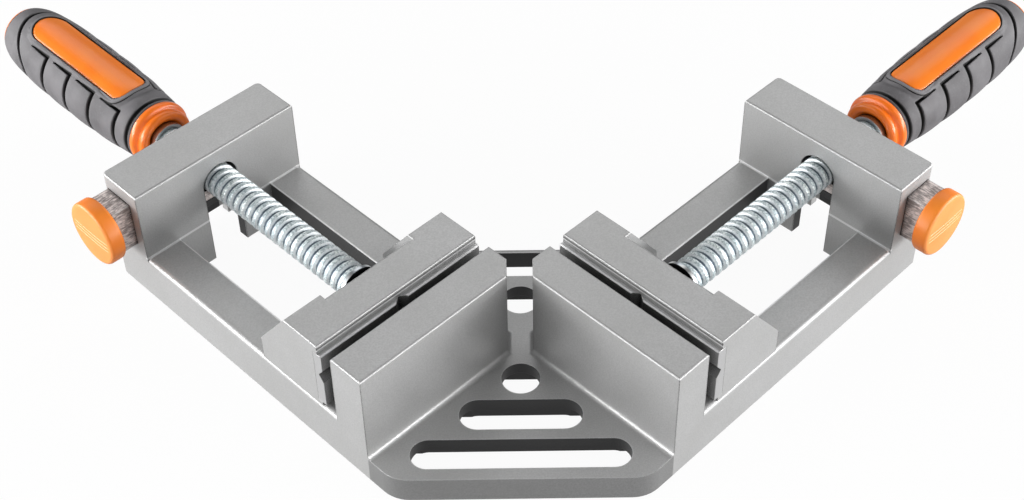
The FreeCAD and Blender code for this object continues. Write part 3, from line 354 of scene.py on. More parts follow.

# Marks of painted light: painted highlights on level edges; painted shade on upright edges,
# on bevels at the rails' rims and along the tops, and on the jaws' backs; painted highlight
# lines at the feet of the blocks and on the rails; and a painted highlight line and a painted
# shade line on the jaws' lips.
level_edge_highlight = cast_edge * cast_rise.step(0.35, 0.60) * below(cast_height, 40.0)
upright_edge_shade = cast_edge * (1.0 - cast_rise.step(0.10, 0.35))
rim_bevel_shade = cast_lean * (within(cast_height, RAIL_TOP - 0.5, 0.7)
                         + above(cast_height, SLOPE_HIGH)).maths("MINIMUM", 1.0)
jaw_back_shade_and_rough = (cast_lean * above(cast_height, SLOPE_LOW) * below(cast_height, SLOPE_HIGH)
            * above(cast_along, MOVER_SLOPE) * below(cast_along, MOVER_BACK))
foot_highlight = within(cast_height, RAIL_TOP, 0.6) * within(cast_along, BLOCK_START, 0.9)
rail_highlight = (within(cast_height, RAIL_TOP, 0.5) * within(cast_aside, RAIL_INSIDE, 0.5)
             * above(cast_along, RAIL_START) * below(cast_along, BLOCK_START))
lip_face = within(cast_along, MOVER_FACE, 0.3) * cast_steep
lip_highlight = lip_face * within(cast_height, MOVER_TOP - LIP_LIGHT, 0.35)
lip_shade = lip_face * within(cast_height, MOVER_TOP - LIP_DARK, 0.30)

cast_grain = cast.grain(cast_place, 1700.0, 2.0)
cast_cloud = cast.grain(cast_place, 28.0, 4.0, 0.6)
# Painted shade: the colour darkens near black in creases, where the piece's own walls close
# round a point.
cast_open = cast.recess(0.005).step(0.05, 0.55)
cast_shade = cast.mix(cast_cloud.step(0.25, 0.75), (0.49, 0.49, 0.485, 1.0), grey(0.55))
# Tone and grain, then the painted highlights and painted shade laid over them.
cast_skin = cast.layers(
    cast_shade, (cast_grain.step(0.30, 0.70) * 0.5, grey(0.40)),
    (level_edge_highlight * 0.55, grey(0.90)), (upright_edge_shade * 0.85, grey(0.05)),
    (rim_bevel_shade * 0.35, grey(0.16)), (jaw_back_shade_and_rough * 0.7, grey(0.20)),
    (foot_highlight * 0.7, grey(0.95)), (rail_highlight * 0.8, grey(0.95)),
    (wall_painted_shade, (0.016, 0.016, 0.017, 1.0)),
    (lip_highlight * 0.9, grey(0.95)), (lip_shade * 0.6, grey(0.06)))
# The painted shade in creases is laid over the skin.
cast_colour = cast.mix(cast_open, (0.055, 0.054, 0.056, 1.0), cast_skin)
CAST_ALLOY = cast.done(cast.skin(
    BaseColor=cast_colour, Metallic=0.50,
    Roughness=0.38 + cast_grain * 0.10 + jaw_back_shade_and_rough * 0.35,
    Normal=cast.bump(cast_grain, 0.00004, cast.rounded(0.0003))))


def dress(finish, *nodes):
    """Gives kept CAD nodes their finish."""
    for name in nodes:
        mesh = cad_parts[name].data
        mesh.materials.clear()
        mesh.materials.append(finish)


dress(CAST_ALLOY, "base_casting", "left_moving_jaw", "right_moving_jaw")

# Clamp plates and keeper plates
# Milled steel bars, screwed to the moving jaws and under their tongues. The cutter leaves
# fine lines down the length of each bar. Their colour carries painted highlights on the
# edges, painted shade on the slopes of the vee grooves, which are also rougher, and painted
# shade near other parts.
GROOVES_TOP = 48.0
SIDES = ((-1, "left"), (1, "right"))
milled = Finish("milled_steel")
milled_place = milled.place()
milled_along, milled_across, milled_height = milled.arm_measures(milled_place)
milled_lines = milled.node("CombineXYZ", None, {
    0: milled_along * 5200.0, 1: milled_across * 40.0, 2: milled_height * 5200.0})
milled_mark = milled.grain(milled_lines, 1.0, 2.0)
milled_cloud = milled.grain(milled_place, 60.0)
milled_round = milled.rounded(0.0004)
milled_slope_shade_and_rough = milled.leaning((0.15, 0.30), (0.85, 0.97)) * below(milled_height, GROOVES_TOP)
# Painted shade: near black where other parts close round a point, as in the seam with the
# moving jaw.
milled_open = milled.recess(0.012, own=False).step(0.22, 0.50)
milled_steel = milled.mix(milled_mark, grey(0.50), (0.74, 0.74, 0.745, 1.0))
# Painted highlights on the edges and painted shade on the groove slopes.
milled_steel = milled.layers(
    milled_steel, (milled.edges(milled_round) * 0.6, grey(0.95)),
    (milled_slope_shade_and_rough * 0.6, grey(0.20)))
MILLED_STEEL = milled.done(milled.skin(
    BaseColor=milled.mix(milled_open, grey(0.02), milled_steel), Metallic=0.75,
    Roughness=0.26 + milled_cloud * 0.16 + milled_slope_shade_and_rough * 0.35,
    Normal=milled.bump(milled_mark, 0.00001, milled_round)))
for _, name in SIDES:
    dress(MILLED_STEEL, name + "_jaw_pad", name + "_keeper_plate")

# Small steel fasteners
# Bright zinc-plated screws, washers, pins and springs, with the faint blue of the plating.
# Painted shade darkens them near black where other parts close round them.
plated = Finish("bright_zinc")
plated_cloud = plated.grain(plated.place(), 240.0, 3.0)
# Painted shade: near black where other parts close round a point.
plated_open = plated.recess(0.0060, own=False).step(0.25, 0.80)
plated_zinc = plated.mix(plated_cloud.step(0.3, 0.7), (0.52, 0.56, 0.60, 1.0),
                         (0.72, 0.73, 0.72, 1.0))
BRIGHT_ZINC = plated.done(plated.skin(
    BaseColor=plated.mix(plated_open, (0.04, 0.04, 0.042, 1.0), plated_zinc),
    Metallic=1.0, Roughness=0.24 + plated_cloud * 0.12,
    Normal=plated.bump(plated_cloud, 0.00002, plated.rounded(0.0003))))
for _, name in SIDES:
    dress(BRIGHT_ZINC, *(name + part for part in (
        "_pad_screws", "_keeper_screws", "_thrust_washer", "_retaining_pins",
        "_handle_ferrule", "_handle_pin", "_stop_pin", "_return_spring")))

# Clamp screws
# Rolled steel screws, 14 mm across with a rounded thread of 4 mm pitch, zinc plated. A
# plain necked end turns in the moving jaw, and a plain shank is pinned in the handle.
SCREW_HEIGHT = 39.6
ROOT_HALF = math.sqrt(0.5)


def on_arm(along, across, up, side):
    """Arm measures in mm to the frame in metres. The arm lies at 45 degrees, so x is
    (along + w) / root 2 and y is (along - w) / root 2, where w is across plus the arm
    centre's distance; side is 1 for the right arm and -1 for its mirror image."""
    w = np.asarray(across) + ARM_CENTRE
    along = np.asarray(along)
    x = (along + w) * ROOT_HALF * side
    y = (along - w) * ROOT_HALF
    return np.stack(np.broadcast_arrays(x, y, np.asarray(up)), axis=-1) * MM


def patch(grid, side):
    """A (points, quads) surface from a grid of arm measures, stored row by row."""
    rows, columns = grid[0].shape
    cell = np.arange(rows - 1)[:, None] * columns + np.arange(columns - 1)
    quads = np.stack((cell, cell + 1, cell + 1 + columns, cell + columns), -1)
    return on_arm(*grid, side), quads.reshape(-1, 4)


def piece_from(name, surfaces, finish, body, replaced, marks=None):
    """One object from (points, quads) surfaces. Points that meet are merged, faces are
    turned outwards, and marks become a point attribute called depth."""
    points, quads, count = [], [], 0
    for place, faces in surfaces:
        place = place.reshape(-1, 3)
        points.append(place)
        quads.append(faces + count)
        count += len(place)
    points = np.concatenate(points)
    quads = np.concatenate(quads)
    mesh = bpy.data.meshes.new(name)
    mesh.from_pydata(points.tolist(), [], quads.tolist())
    if marks is not None:
        layer = mesh.attributes.new("depth", "FLOAT", "POINT")
        layer.data.foreach_set("value", np.concatenate([m.ravel() for m in marks]))
    tidy = bmesh.new()
    tidy.from_mesh(mesh)
    bmesh.ops.remove_doubles(tidy, verts=tidy.verts, dist=0.002 * MM)
    bmesh.ops.dissolve_degenerate(tidy, edges=tidy.edges, dist=0.001 * MM)
    bmesh.ops.recalc_face_normals(tidy, faces=tidy.faces)
    tidy.to_mesh(mesh)
    tidy.free()
    mesh.polygons.foreach_set("use_smooth", [True] * len(mesh.polygons))
    mesh.set_sharp_from_angle(angle=math.radians(32.0))
    mesh.materials.append(finish)
    made = bpy.data.objects.new(name, mesh)
    bpy.context.scene.collection.objects.link(made)
    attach(made, body)
    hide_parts(*replaced)
    return made


def turned(profile, segments=64):
    """A profile of (along, radius) points in mm turned about the screw's centre line:
    across is radius times sin t and up is radius times cos t."""
    along, radius = np.array(profile, float).T
    angle = np.linspace(0.0, 2.0 * math.pi, segments + 1)
    return (along[:, None] + 0.0 * angle, radius[:, None] * np.sin(angle),
            SCREW_HEIGHT + radius[:, None] * np.cos(angle))


LEAD = 4.0
CREST, ROOT = 7.0, 5.75
THREAD_START, THREAD_END = 32.4, 150.5
# Leads that are built past each end and then folded into it, and parts of a turn.
SPARE, PARTS = 4, 72
# One lead of the thread: share of the lead, and share of the thread's height.
THREAD_SHAPE = np.array([
    (0.00, 0.00), (0.05, 0.00), (0.08, 0.08), (0.13, 0.40), (0.18, 0.74), (0.23, 0.92),
    (0.30, 0.99), (0.45, 1.00), (0.60, 0.99), (0.67, 0.92), (0.72, 0.74), (0.77, 0.40),
    (0.82, 0.08), (0.85, 0.00), (0.93, 0.00)])


def thread():
    """Rolled thread. Station k at angle t lies at its own place plus lead times t / 2 pi,
    so that after a whole turn it meets the station one lead further on. Past either end
    the place is held at the end face and the radius shrinks to nothing, which closes it."""
    per_lead = len(THREAD_SHAPE)
    leads = int((THREAD_END - THREAD_START) / LEAD) + 2 * SPARE
    share, height = np.tile(THREAD_SHAPE, (leads, 1)).T
    turn = np.repeat(np.arange(leads), per_lead)
    station = THREAD_START + (turn - SPARE + share) * LEAD
    angle = np.linspace(0.0, 1.0, PARTS + 1)
    along = station[:, None] + LEAD * angle
    radius = ROOT + (CREST - ROOT) * height[:, None] + 0.0 * angle
    inside = np.minimum(along - THREAD_START, THREAD_END - along)
    radius = np.minimum(radius, ROOT + 0.1 + np.maximum(inside, 0.0))
    radius = np.where(inside < 0.0, np.maximum(radius + inside * 2.0, 0.0), radius)
    along = np.clip(along, THREAD_START, THREAD_END)
    angle = angle * 2.0 * math.pi
    return along, radius * np.sin(angle), SCREW_HEIGHT + radius * np.cos(angle)


zinc = Finish("zinc_plated_thread")
zinc_place = zinc.place()
zinc_cloud = zinc.grain(zinc_place, 150.0, 4.0, 0.6)
zinc_streak = zinc.grain(zinc_place, 1300.0, 4.0, 0.6)
zinc_deep = zinc.node("Attribute", {"attribute_name": "depth"}, output="Fac")
zinc_flank_highlight = zinc_deep.step(0.15, 0.40) * (1.0 - zinc_deep.step(0.80, 0.97))
zinc_colour = zinc.mix(zinc_cloud.step(0.3, 0.7), (0.70, 0.78, 0.81, 1.0),
                       (0.92, 0.97, 0.95, 1.0))
# Mottled streaks, then a painted highlight as a pale band on the thread's flanks, and painted
# shade in dark blue-grey in its roots.
zinc_colour = zinc.layers(
    zinc_colour, (zinc_streak.step(0.42, 0.58) * 0.75, (0.27, 0.35, 0.38, 1.0)),
    (zinc_flank_highlight * 0.8, (0.95, 0.98, 1.0, 1.0)),
    (1.0 - zinc_deep.step(0.0, 0.20), (0.09, 0.12, 0.16, 1.0)))
ZINC_THREAD = zinc.done(zinc.skin(
    BaseColor=zinc_colour, Metallic=0.50, Roughness=0.44 + zinc_streak * 0.16,
    Normal=zinc.bump(zinc_streak, 0.00010)))

# Outlines in (along, radius): the necked end in the moving jaw, and the shank in the handle.
JOURNAL = [(12.6, 0.0), (12.6, 3.95), (13.4, 4.75), (18.98, 4.75), (18.98, 3.25),
           (22.22, 3.25), (22.22, 4.75), (33.0, 4.75), (33.0, 0.0)]
SHANK = [(150.0, 0.0), (150.0, 5.9), (203.4, 5.9), (204.0, 5.3), (204.0, 0.0)]
for side, name in SIDES:
    along, across, up = thread()
    surfaces = [patch((along, across, up), side)]
    depth = [(np.hypot(across, up - SCREW_HEIGHT) - ROOT) / (CREST - ROOT)]
    for profile in (JOURNAL, SHANK):
        round_bar = turned(profile)
        surfaces.append(patch(round_bar, side))
        depth.append(np.ones(round_bar[0].shape))
    piece_from(name + "_clamp_screw", surfaces, ZINC_THREAD,
               name + "_screw", [name + "_screw_spindle"], depth)

# Handle mouldings
# A hard orange handle moulding shows as the stepped collar, the domed end and the long
# inlay along the top. It is injection moulded and has a soft gloss.
GRIP_START, GRIP_END = 161.0, 258.5
GRIP_TOP, GRIP_TOP_PLACE = 16.85, 207.0
GRIP_NEAR, GRIP_FAR, GRIP_TIP = 14.4, 15.35, 12.6
INLAY_START, INLAY_END = 174.0, 243.0
INLAY_HALF, INLAY_NEAR = 8.25, 6.0
# The near end's length as a share of the inlay's half width.
NEAR_SHARE = 0.72


def grip_radius(along):
    """The swelling grip in mm: its largest radius less a square law to either end, and
    less an eighth power that turns the far end over into a shoulder."""
    near = np.clip((GRIP_TOP_PLACE - along) / (GRIP_TOP_PLACE - GRIP_START), 0.0, 1.0)
    far = np.clip((along - GRIP_TOP_PLACE) / (GRIP_END - GRIP_TOP_PLACE), 0.0, 1.0)
    drop = (GRIP_TOP - GRIP_NEAR) * near ** 2 + (GRIP_TOP - GRIP_FAR) * far ** 2
    return GRIP_TOP - drop - (GRIP_FAR - GRIP_TIP) * far ** 8


def inlay_outline(count=160):
    """A long slot shape in (along, across): two straight sides, a half round far end and
    a near end with tighter corners, by raising sine and cosine to a power."""
    turn = np.linspace(0.0, 2.0 * math.pi, count + 1)
    cosine, sine = np.cos(turn), np.sin(turn)
    far = cosine > 0.0
    power = np.where(far, 1.0, 0.75)
    near_reach = INLAY_HALF * NEAR_SHARE
    reach = np.where(far, INLAY_HALF, near_reach)
    centre = np.where(far, INLAY_END - INLAY_HALF, INLAY_START + near_reach)
    return (centre + reach * np.sign(cosine) * np.abs(cosine) ** power,
            INLAY_HALF * np.sign(sine) * np.abs(sine) ** power)


def rim_normals(along, across):
    """Unit outward directions of a closed outline, from the chords on either side."""
    ahead = np.roll(along[:-1], -1) - np.roll(along[:-1], 1)
    aside = np.roll(across[:-1], -1) - np.roll(across[:-1], 1)
    size = np.hypot(ahead, aside)
    out = np.stack((aside / size, -ahead / size))
    return np.concatenate((out, out[:, :1]), axis=1)


def crowned(along, across, sink):
    """Height of a point of the grip's swelling surface, less a sink, above the screw."""
    radius = grip_radius(along) - sink
    return SCREW_HEIGHT + np.sqrt(np.maximum(radius ** 2 - across ** 2, 1.0))


def inlay_surface():
    """Rings from the middle line to the outline, crowned like the grip, then down the
    wall. The middle line is the outline squeezed flat across."""
    along, across = inlay_outline()
    out = rim_normals(along, across)
    spine = np.clip(along, INLAY_START + INLAY_HALF * 0.7, INLAY_END - INLAY_HALF)
    rows = [(spine + (along - spine) * share, across * share,
             0.45 - 0.15 * (1.0 - share ** 2))
            for share in (0.0, 0.25, 0.5, 0.7, 0.85, 0.94)]
    for inset, sink in ((0.35, 0.5), (0.12, 0.62), (0.0, 0.9), (0.0, 2.0), (0.0, 5.5)):
        rows.append((along - out[0] * inset, across - out[1] * inset, sink))
    a = np.array([row[0] for row in rows])
    c = np.array([row[1] for row in rows])
    sink = np.array([row[2] + 0.0 * row[0] for row in rows])
    return a, c, crowned(a, c, sink)


def speckle(finish, place, colours, scale):
    """Two close colours in soft clouds, as moulded pigment has."""
    return finish.mix(finish.grain(place, scale, 3.0).step(0.3, 0.7), *colours)


# Where along the handle the collar's deeper orange gives way to the inlay's.
COLLAR_FADE = (164.0 * MM, 168.0 * MM)
orange = Finish("orange_moulding")
orange_place = orange.place()
orange_along, _, _ = orange.arm_measures(orange_place)
orange_deep = speckle(orange, orange_place, ((0.98, 0.178, 0.006, 1.0),
                                             (1.00, 0.210, 0.010, 1.0)), 70.0)
orange_clear = speckle(orange, orange_place, ((0.98, 0.215, 0.010, 1.0),
                                              (1.00, 0.250, 0.016, 1.0)), 70.0)
orange_colour = orange.mix(orange_along.step(*COLLAR_FADE), orange_deep, orange_clear)
orange_grain = orange.grain(orange_place, 1500.0, 2.0)
ORANGE = orange.done(orange.skin(
    BaseColor=orange_colour, Roughness=0.26 + orange_grain * 0.12, CoatWeight=0.25,
    CoatRoughness=0.25, Normal=orange.bump(orange_grain, 0.00002)))

# Outline in (along, radius): collar, hidden sleeve, domed end and bore.
COLLAR = [
    (154.9, 5.95), (154.9, 7.95), (154.6, 8.3), (153.9, 9.3), (153.55, 10.2),
    (153.5, 10.9), (153.65, 11.6), (154.05, 12.2), (154.7, 12.55), (155.5, 12.58),
    (156.2, 12.42), (156.7, 12.2), (157.1, 12.2), (157.45, 12.5), (157.7, 13.0),
    (158.0, 13.55), (158.5, 13.98), (159.1, 14.18), (160.1, 14.2), (160.7, 14.0),
    (161.0, 13.6), (161.0, 12.0), (207.0, 12.0), (258.1, 10.4), (258.4, 11.6),
    (258.9, 11.8), (259.6, 11.5), (260.4, 10.8), (261.3, 9.6), (262.1, 7.9),
    (262.7, 5.6), (262.95, 3.0), (263.0, 0.0), (204.5, 0.0), (204.5, 5.95),
    (154.9, 5.95)]
for side, name in SIDES:
    piece_from(name + "_handle_moulding",
               [patch(turned(COLLAR, 96), side), patch(inlay_surface(), side)],
               ORANGE, name + "_screw", [name + "_handle_core"])

# Rubber grips
# A soft grey sleeve is moulded over each handle. It has a raised frame round the inlay, a
# ring groove at each end, and four grooves under the fingers that hook along the flanks.
# Its colour carries painted shade, near black, in the grooves and on the frame's walls, and a
# painted highlight on the frame's top.
RING_NEAR = 163.4
FLANK_GROOVES = (171.5, 188.5, 205.5, 222.5)
RING_UNDER, RING_OVER = 238.5, 249.5
HOOK_DEGREES, HOOK_LENGTH, HOOK_HALF = 43.0, 12.5, 0.9
HOOK_ANGLE = math.radians(HOOK_DEGREES)
# Turns angles round the grip into mm, and mm across a groove into degrees of the grid.
GRIP_MEAN, GRID_SPREAD = 16.0, 3.0
GROOVE_HALF, GROOVE_DEPTH = 1.20, 1.6
FRAME_WIDTH, FRAME_RISE = 1.9, 0.45
# Panels swell between the grooves, the window is cut for the inlay, and a shallow dish lies
# before it, at a distance from the inlay and with a width.
PANEL_RISE, WINDOW_DEPTH = 0.30, 2.4
DISH_DEPTH, DISH_PLACE, DISH_WIDTH, DISH_FADE = 0.7, 5.2, 2.0, 8.0


def far_ring(angle):
    """Where the far ring groove lies, in mm along: it swings out round the inlay's end."""
    rise = np.clip(np.cos(angle), 0.0, 1.0)
    return RING_UNDER + (RING_OVER - RING_UNDER) * rise ** 1.25


def groove(distance, half=GROOVE_HALF):
    """1 in the floor of a groove and 0 outside it, with steep rounded sides."""
    edge = np.clip((half - np.abs(distance)) / (half * 0.75) + 0.15, 0.0, 1.0)
    return edge * edge * (3.0 - 2.0 * edge)


def close_lines(low, high, spacing, centres, offsets):
    """Even grid lines with a close set at each centre. Even lines inside a set are left
    out."""
    even = np.linspace(low, high, int(round((high - low) / spacing)) + 1)
    reach = max(offsets)
    far = np.all(np.abs(even[:, None] - np.array(centres)) > reach * 1.3, axis=1)
    far[0] = far[-1] = True
    sets = (np.array(centres)[:, None] + np.array(offsets)).ravel()
    lines = np.concatenate((even[far], sets[(sets > low) & (sets < high)]))
    return np.unique(np.round(lines, 5))


def inlay_distance(along, across):
    """Distance in mm outside the inlay's outline, negative inside, from straight sides
    and round ends."""
    middle_low, middle_high = INLAY_START + INLAY_NEAR, INLAY_END - INLAY_HALF
    near = np.hypot(np.minimum(along - middle_low, 0.0) * (INLAY_HALF / INLAY_NEAR),
                    across) - INLAY_HALF
    far = np.hypot(np.maximum(along - middle_high, 0.0), across) - INLAY_HALF
    return np.where(along < middle_low, near, far)


def grip_surface():
    """The sleeve over (along, angle). Grid lines crowd at each groove, and near the far
    ring they swing with it. The radius is the swelling grip less every groove's depth."""
    offsets = (-1.45, -1.20, -0.95, -0.6, 0.0, 0.6, 0.95, 1.20, 1.45)
    line = close_lines(GRIP_START, GRIP_END, 0.85,
                       (RING_NEAR,) + FLANK_GROOVES + (RING_UNDER,), offsets)
    turn = close_lines(-180.0, 180.0, 2.6, (-HOOK_DEGREES, HOOK_DEGREES),
                       tuple(value * GRID_SPREAD for value in offsets))
    angle = np.radians(turn)[None, :]
    swing = np.interp(line, (225.0, RING_UNDER - 1.2, RING_UNDER + 1.2, GRIP_END),
                      (0.0, 1.0, 1.0, 0.0))[:, None]
    along = line[:, None] + (far_ring(angle) - RING_UNDER) * swing
    radius = grip_radius(along)
    across = radius * np.sin(angle)
    top = np.cos(angle) > 0.0
    # Grooves, as shares of their full depth.
    cut = groove(line[:, None] - RING_UNDER) + 0.0 * angle
    cut = np.maximum(cut, groove(line[:, None] - RING_NEAR))
    past_hook = (np.abs(angle) - HOOK_ANGLE) * GRIP_MEAN
    under = np.clip(past_hook / GROOVE_HALF + 1.0, 0.0, 1.0)
    for place in FLANK_GROOVES:
        cut = np.maximum(cut, groove(line[:, None] - place) * under)
        run = (along - place) / HOOK_LENGTH
        half = HOOK_HALF * np.clip(1.0 - run, 0.0, 1.0) ** 0.5 * (run > -0.05) + 0.001
        cut = np.maximum(cut, groove(past_hook, half) * (half > 0.2))
    # Panels between the grooves swell a little, and the frame stands round the inlay.
    panel = np.zeros_like(along)
    edges = FLANK_GROOVES + (RING_UNDER,)
    for start, stop in zip(edges[:-1], edges[1:]):
        share = np.clip((line[:, None] - start) / (stop - start), 0.0, 1.0)
        panel = np.maximum(panel, 4.0 * share * (1.0 - share))
    panel = panel * np.clip((np.abs(angle) - HOOK_ANGLE) * 3.0, 0.0, 1.0)
    outside = inlay_distance(along, across)
    frame_fall = np.clip((outside - FRAME_WIDTH) / 0.7, 0.0, 1.0)
    frame_fall = np.where(top, frame_fall, 1.0)
    window = np.where(top, np.clip((0.9 - outside) / 0.5, 0.0, 1.0), 0.0)
    sunk = FRAME_RISE * frame_fall * frame_fall * (3.0 - 2.0 * frame_fall)
    before_inlay = np.clip((INLAY_START + INLAY_NEAR - along) / DISH_FADE, 0.0, 1.0)
    dish = np.exp(-((outside - DISH_PLACE) / DISH_WIDTH) ** 2) * before_inlay * top
    depth = GROOVE_DEPTH * cut + sunk - PANEL_RISE * panel * (1.0 - cut)
    depth = depth + WINDOW_DEPTH * window + DISH_DEPTH * dish
    ends = np.minimum(along - GRIP_START, GRIP_END - along)
    depth = depth + 0.5 * np.clip(1.0 - ends / 0.8, 0.0, 1.0) ** 2
    radius = radius - depth
    return along, radius * np.sin(angle), SCREW_HEIGHT + radius * np.cos(angle), cut


def frame_band():
    """The raised frame: a band carried round the inlay's outline, up its inner wall,
    over a rounded top and down its outer side into the sleeve."""
    along, across = inlay_outline(200)
    out = rim_normals(along, across)
    # Each row: distance outside the inlay, sink below the crown, and share of black as
    # painted shade, or of a paler tone as a painted highlight where it is negative.
    rows = [(0.06, 4.0, 1.0), (0.06, 1.0, 1.0), (0.10, 0.45, 1.0), (0.34, 0.16, 1.0),
            (0.55, 0.03, -0.6), (0.9, 0.0, -1.0), (FRAME_WIDTH - 0.7, 0.0, -1.0),
            (FRAME_WIDTH - 0.3, 0.05, -0.6), (FRAME_WIDTH, 0.16, 0.0),
            (FRAME_WIDTH + 0.18, 0.45, 0.9), (FRAME_WIDTH + 0.25, 1.2, 1.0)]
    a = np.array([along + out[0] * step for step, *_ in rows])
    c = np.array([across + out[1] * step for step, *_ in rows])
    sink = np.array([[down] for _, down, _ in rows])
    dark = np.array([[shade] for *_, shade in rows]) + 0.0 * along
    return a, c, crowned(a, c, sink), dark


rubber = Finish("grey_rubber")
rubber_place = rubber.place()
rubber_deep = rubber.node("Attribute", {"attribute_name": "depth"}, output="Fac")
rubber_dust = rubber.grain(rubber_place, 900.0, 4.0, 0.6)
rubber_cloud = rubber.grain(rubber_place, 55.0, 3.0)
rubber_colour = rubber.mix(rubber_cloud.step(0.3, 0.7), (0.108, 0.104, 0.109, 1.0),
                           (0.182, 0.176, 0.184, 1.0))
# Dust as paler specks, then the painted highlight on the frame's top and the painted shade in
# the grooves.
rubber_colour = rubber.layers(
    rubber_colour, (rubber_dust.step(0.50, 0.75) * 0.5, (0.19, 0.185, 0.195, 1.0)),
    ((rubber_deep * -1.0).step(0.2, 0.9), (0.21, 0.205, 0.215, 1.0)),
    (rubber_deep.step(0.10, 0.50), grey(0.003)))
RUBBER = rubber.done(rubber.skin(
    BaseColor=rubber_colour, Roughness=0.52 + rubber_dust * 0.18, SpecularIORLevel=0.32,
    Normal=rubber.bump(rubber_dust, 0.00005)))
# Outline in (along, radius) of the sleeve's bore and its near end.
SLEEVE_BORE = [(258.5, 12.1), (258.1, 10.5), (207.0, 12.05), (161.0, 12.05), (161.0, 13.9)]
for side, name in SIDES:
    *sleeve, cut = grip_surface()
    *band, band_painted_light = frame_band()
    bore = turned(SLEEVE_BORE, 96)
    piece_from(name + "_rubber_grip",
               [patch(sleeve, side), patch(bore, side), patch(band, side)],
               RUBBER, name + "_screw", [name + "_handle_grip"],
               [cut, np.zeros(bore[0].shape), band_painted_light])

# Slide bars and release buttons
# Each half nut is part of a cast zinc bar that slides through the nut block. Pressing the
# orange button on its outer end against the spring frees the screw.
die_cast = Finish("dark_die_casting")
die_place = die_cast.place()
die_along, die_across, die_height = die_cast.arm_measures(die_place)
die_lines = die_cast.node("CombineXYZ", None, {
    0: (die_along + die_height) * 1300.0, 1: die_across * 330.0,
    2: (die_along - die_height) * 420.0})
die_streak = die_cast.grain(die_lines, 1.0, 5.0, 0.6)
die_cloud = die_cast.grain(die_place, 170.0, 5.0, 0.62)
die_round = die_cast.rounded(0.0009)
# Painted shade: near black where other parts close round the bar, as where it enters the
# block.
die_open = die_cast.recess(0.0040, own=False).step(0.42, 0.72)
die_blend = die_cloud * 0.4 + die_streak * 0.6
die_colour = die_cast.mix(die_blend.step(0.40, 0.62), (0.30, 0.26, 0.25, 1.0),
                          (0.95, 0.86, 0.83, 1.0))
# Mottled streaks, then painted highlights on the edges and the painted shade.
die_colour = die_cast.layers(
    die_colour, (die_cast.edges(die_round) * 0.7, (0.85, 0.82, 0.80, 1.0)),
    (1.0 - die_open, (0.012, 0.010, 0.011, 1.0)))
DIE_CASTING = die_cast.done(die_cast.skin(
    BaseColor=die_colour, Metallic=0.6, Roughness=0.34 + die_cloud * 0.2,
    Normal=die_cast.bump(die_cast.grain(die_place, 1900.0, 2.0), 0.00005, die_round)))
dress(DIE_CASTING, "left_slide_bar", "right_slide_bar")

BUTTON_PLACE, BUTTON_HEIGHT = 129.7, 38.0
BUTTON_BACK, BUTTON_FACE = 48.15, 55.35
BUTTON_RADIUS, BUTTON_ROUND, BUTTON_SINK = 14.0, 1.6, 0.30
BUTTON_LINES = (-1.9, 0.0, 1.9)
LINE_HALF, LINE_DEPTH = 0.30, 0.22
# The front's painted light, a lighter tone, begins and is full this far behind the face.
FRONT_FADE = (1.4, 0.5)


def button_face():
    """The front face as level chords: up is R sin(pi s / 2) and along is t times the
    chord's half length. Three fine lines are sunk in it, and it is crowned a little."""
    edge = BUTTON_RADIUS - BUTTON_ROUND
    rise = np.unique(np.round(np.concatenate(
        (edge * np.sin(np.linspace(-1.0, 1.0, 41) * math.pi / 2.0),
         *(np.array((-0.42, -0.28, -0.14, 0.0, 0.14, 0.28, 0.42)) + line
           for line in BUTTON_LINES))), 4))
    run = np.sin(np.linspace(-1.0, 1.0, 33) * math.pi / 2.0)
    half = np.sqrt(np.maximum(edge ** 2 - rise ** 2, 0.0))
    x = half[:, None] * run
    y = rise[:, None] + 0.0 * run
    lines = sum(np.clip(1.0 - np.abs(y - line) / LINE_HALF, 0.0, 1.0)
                for line in BUTTON_LINES)
    fade = np.clip((half[:, None] * 0.94 - np.abs(x)) / 0.8, 0.0, 1.0)
    crown = BUTTON_SINK * (1.0 - (x ** 2 + y ** 2) / edge ** 2)
    lines = lines * fade
    return x, y, crown - BUTTON_SINK - LINE_DEPTH * lines, lines


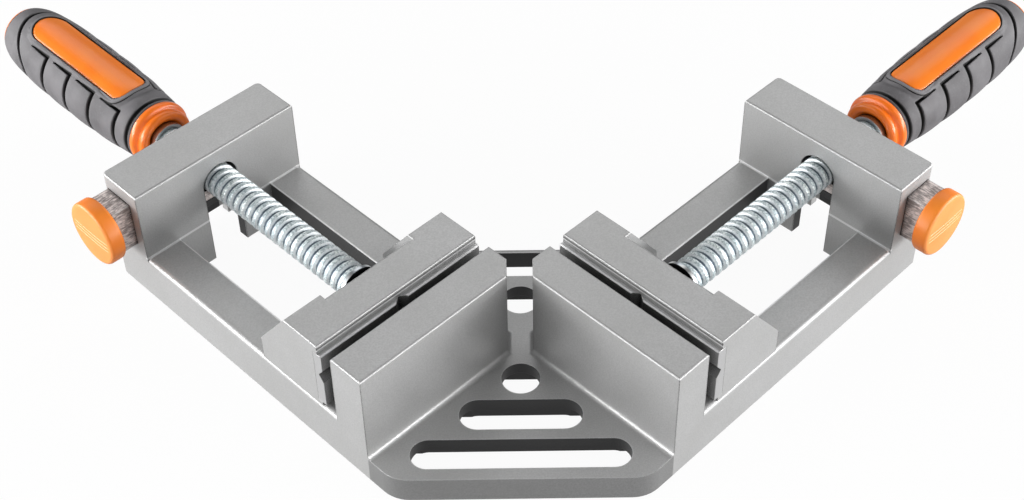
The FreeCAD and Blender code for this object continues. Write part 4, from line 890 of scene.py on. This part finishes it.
def button_side(x, y):
    """The rim: the face's outline carried round the rounded front edge, the wall and the
    back edge, then in to the middle of the back."""
    loop_x, loop_y = (np.concatenate((part[:, -1], part[::-1, 0], part[:1, -1]))
                      for part in (x, y))
    edge = BUTTON_RADIUS - BUTTON_ROUND
    turn = np.linspace(0.0, math.pi / 2.0, 7)
    front = [(edge + BUTTON_ROUND * math.sin(t), -BUTTON_SINK - 1.5 * (1.0 - math.cos(t)))
             for t in turn]
    thick = BUTTON_FACE - BUTTON_BACK
    back = [(edge + 0.4 + 1.2 * math.cos(t), -thick + 1.2 * (1.0 - math.sin(t)))
            for t in np.linspace(0.0, math.pi / 2.0, 5)]
    rows = front + back + [(0.0, -thick)]
    scale = np.array([radius for radius, _ in rows])[:, None] / edge
    out = np.array([depth for _, depth in rows])[:, None]
    return loop_x * scale, loop_y * scale, out + 0.0 * loop_x


button = Finish("orange_button")
button_place = button.place()
button_line_highlight = button.node("Attribute", {"attribute_name": "depth"}, output="Fac")
_, button_across, _ = button.arm_measures(button_place)
# The front face is painted lighter and paler than the rim, as painted light on the face.
button_rim = speckle(button, button_place, ((1.00, 0.240, 0.022, 1.0),
                                            (1.00, 0.285, 0.030, 1.0)), 60.0)
button_lit_front = speckle(button, button_place, ((0.98, 0.315, 0.070, 1.0),
                                              (1.00, 0.355, 0.090, 1.0)), 60.0)
button_lit_fade = button_across.step(*((ARM_CENTRE + BUTTON_FACE - back) * MM
                                   for back in FRONT_FADE))
button_colour = button.mix(button_lit_fade, button_rim, button_lit_front)
# Painted highlight along the three fine lines in the face.
button_colour = button.mix(button_line_highlight.step(0.1, 0.9) * 0.75, button_colour,
                           (1.0, 0.70, 0.46, 1.0))
button_grain = button.grain(button_place, 1500.0, 2.0)
ORANGE_BUTTON = button.done(button.skin(
    BaseColor=button_colour, Roughness=0.36 + button_grain * 0.12,
    Normal=button.bump(button_grain, 0.00002)))
for side, name in SIDES:
    x, y, out, lines = button_face()
    rim_x, rim_y, rim_out = button_side(x, y)
    face = patch((BUTTON_PLACE + x, BUTTON_FACE + out, BUTTON_HEIGHT + y), side)
    rim = patch((BUTTON_PLACE + rim_x, BUTTON_FACE + rim_out, BUTTON_HEIGHT + rim_y), side)
    piece_from(name + "_thumb_button", [face, rim], ORANGE_BUTTON,
               name + "_release", [name + "_release_button"], [lines, np.zeros(rim_x.shape)])
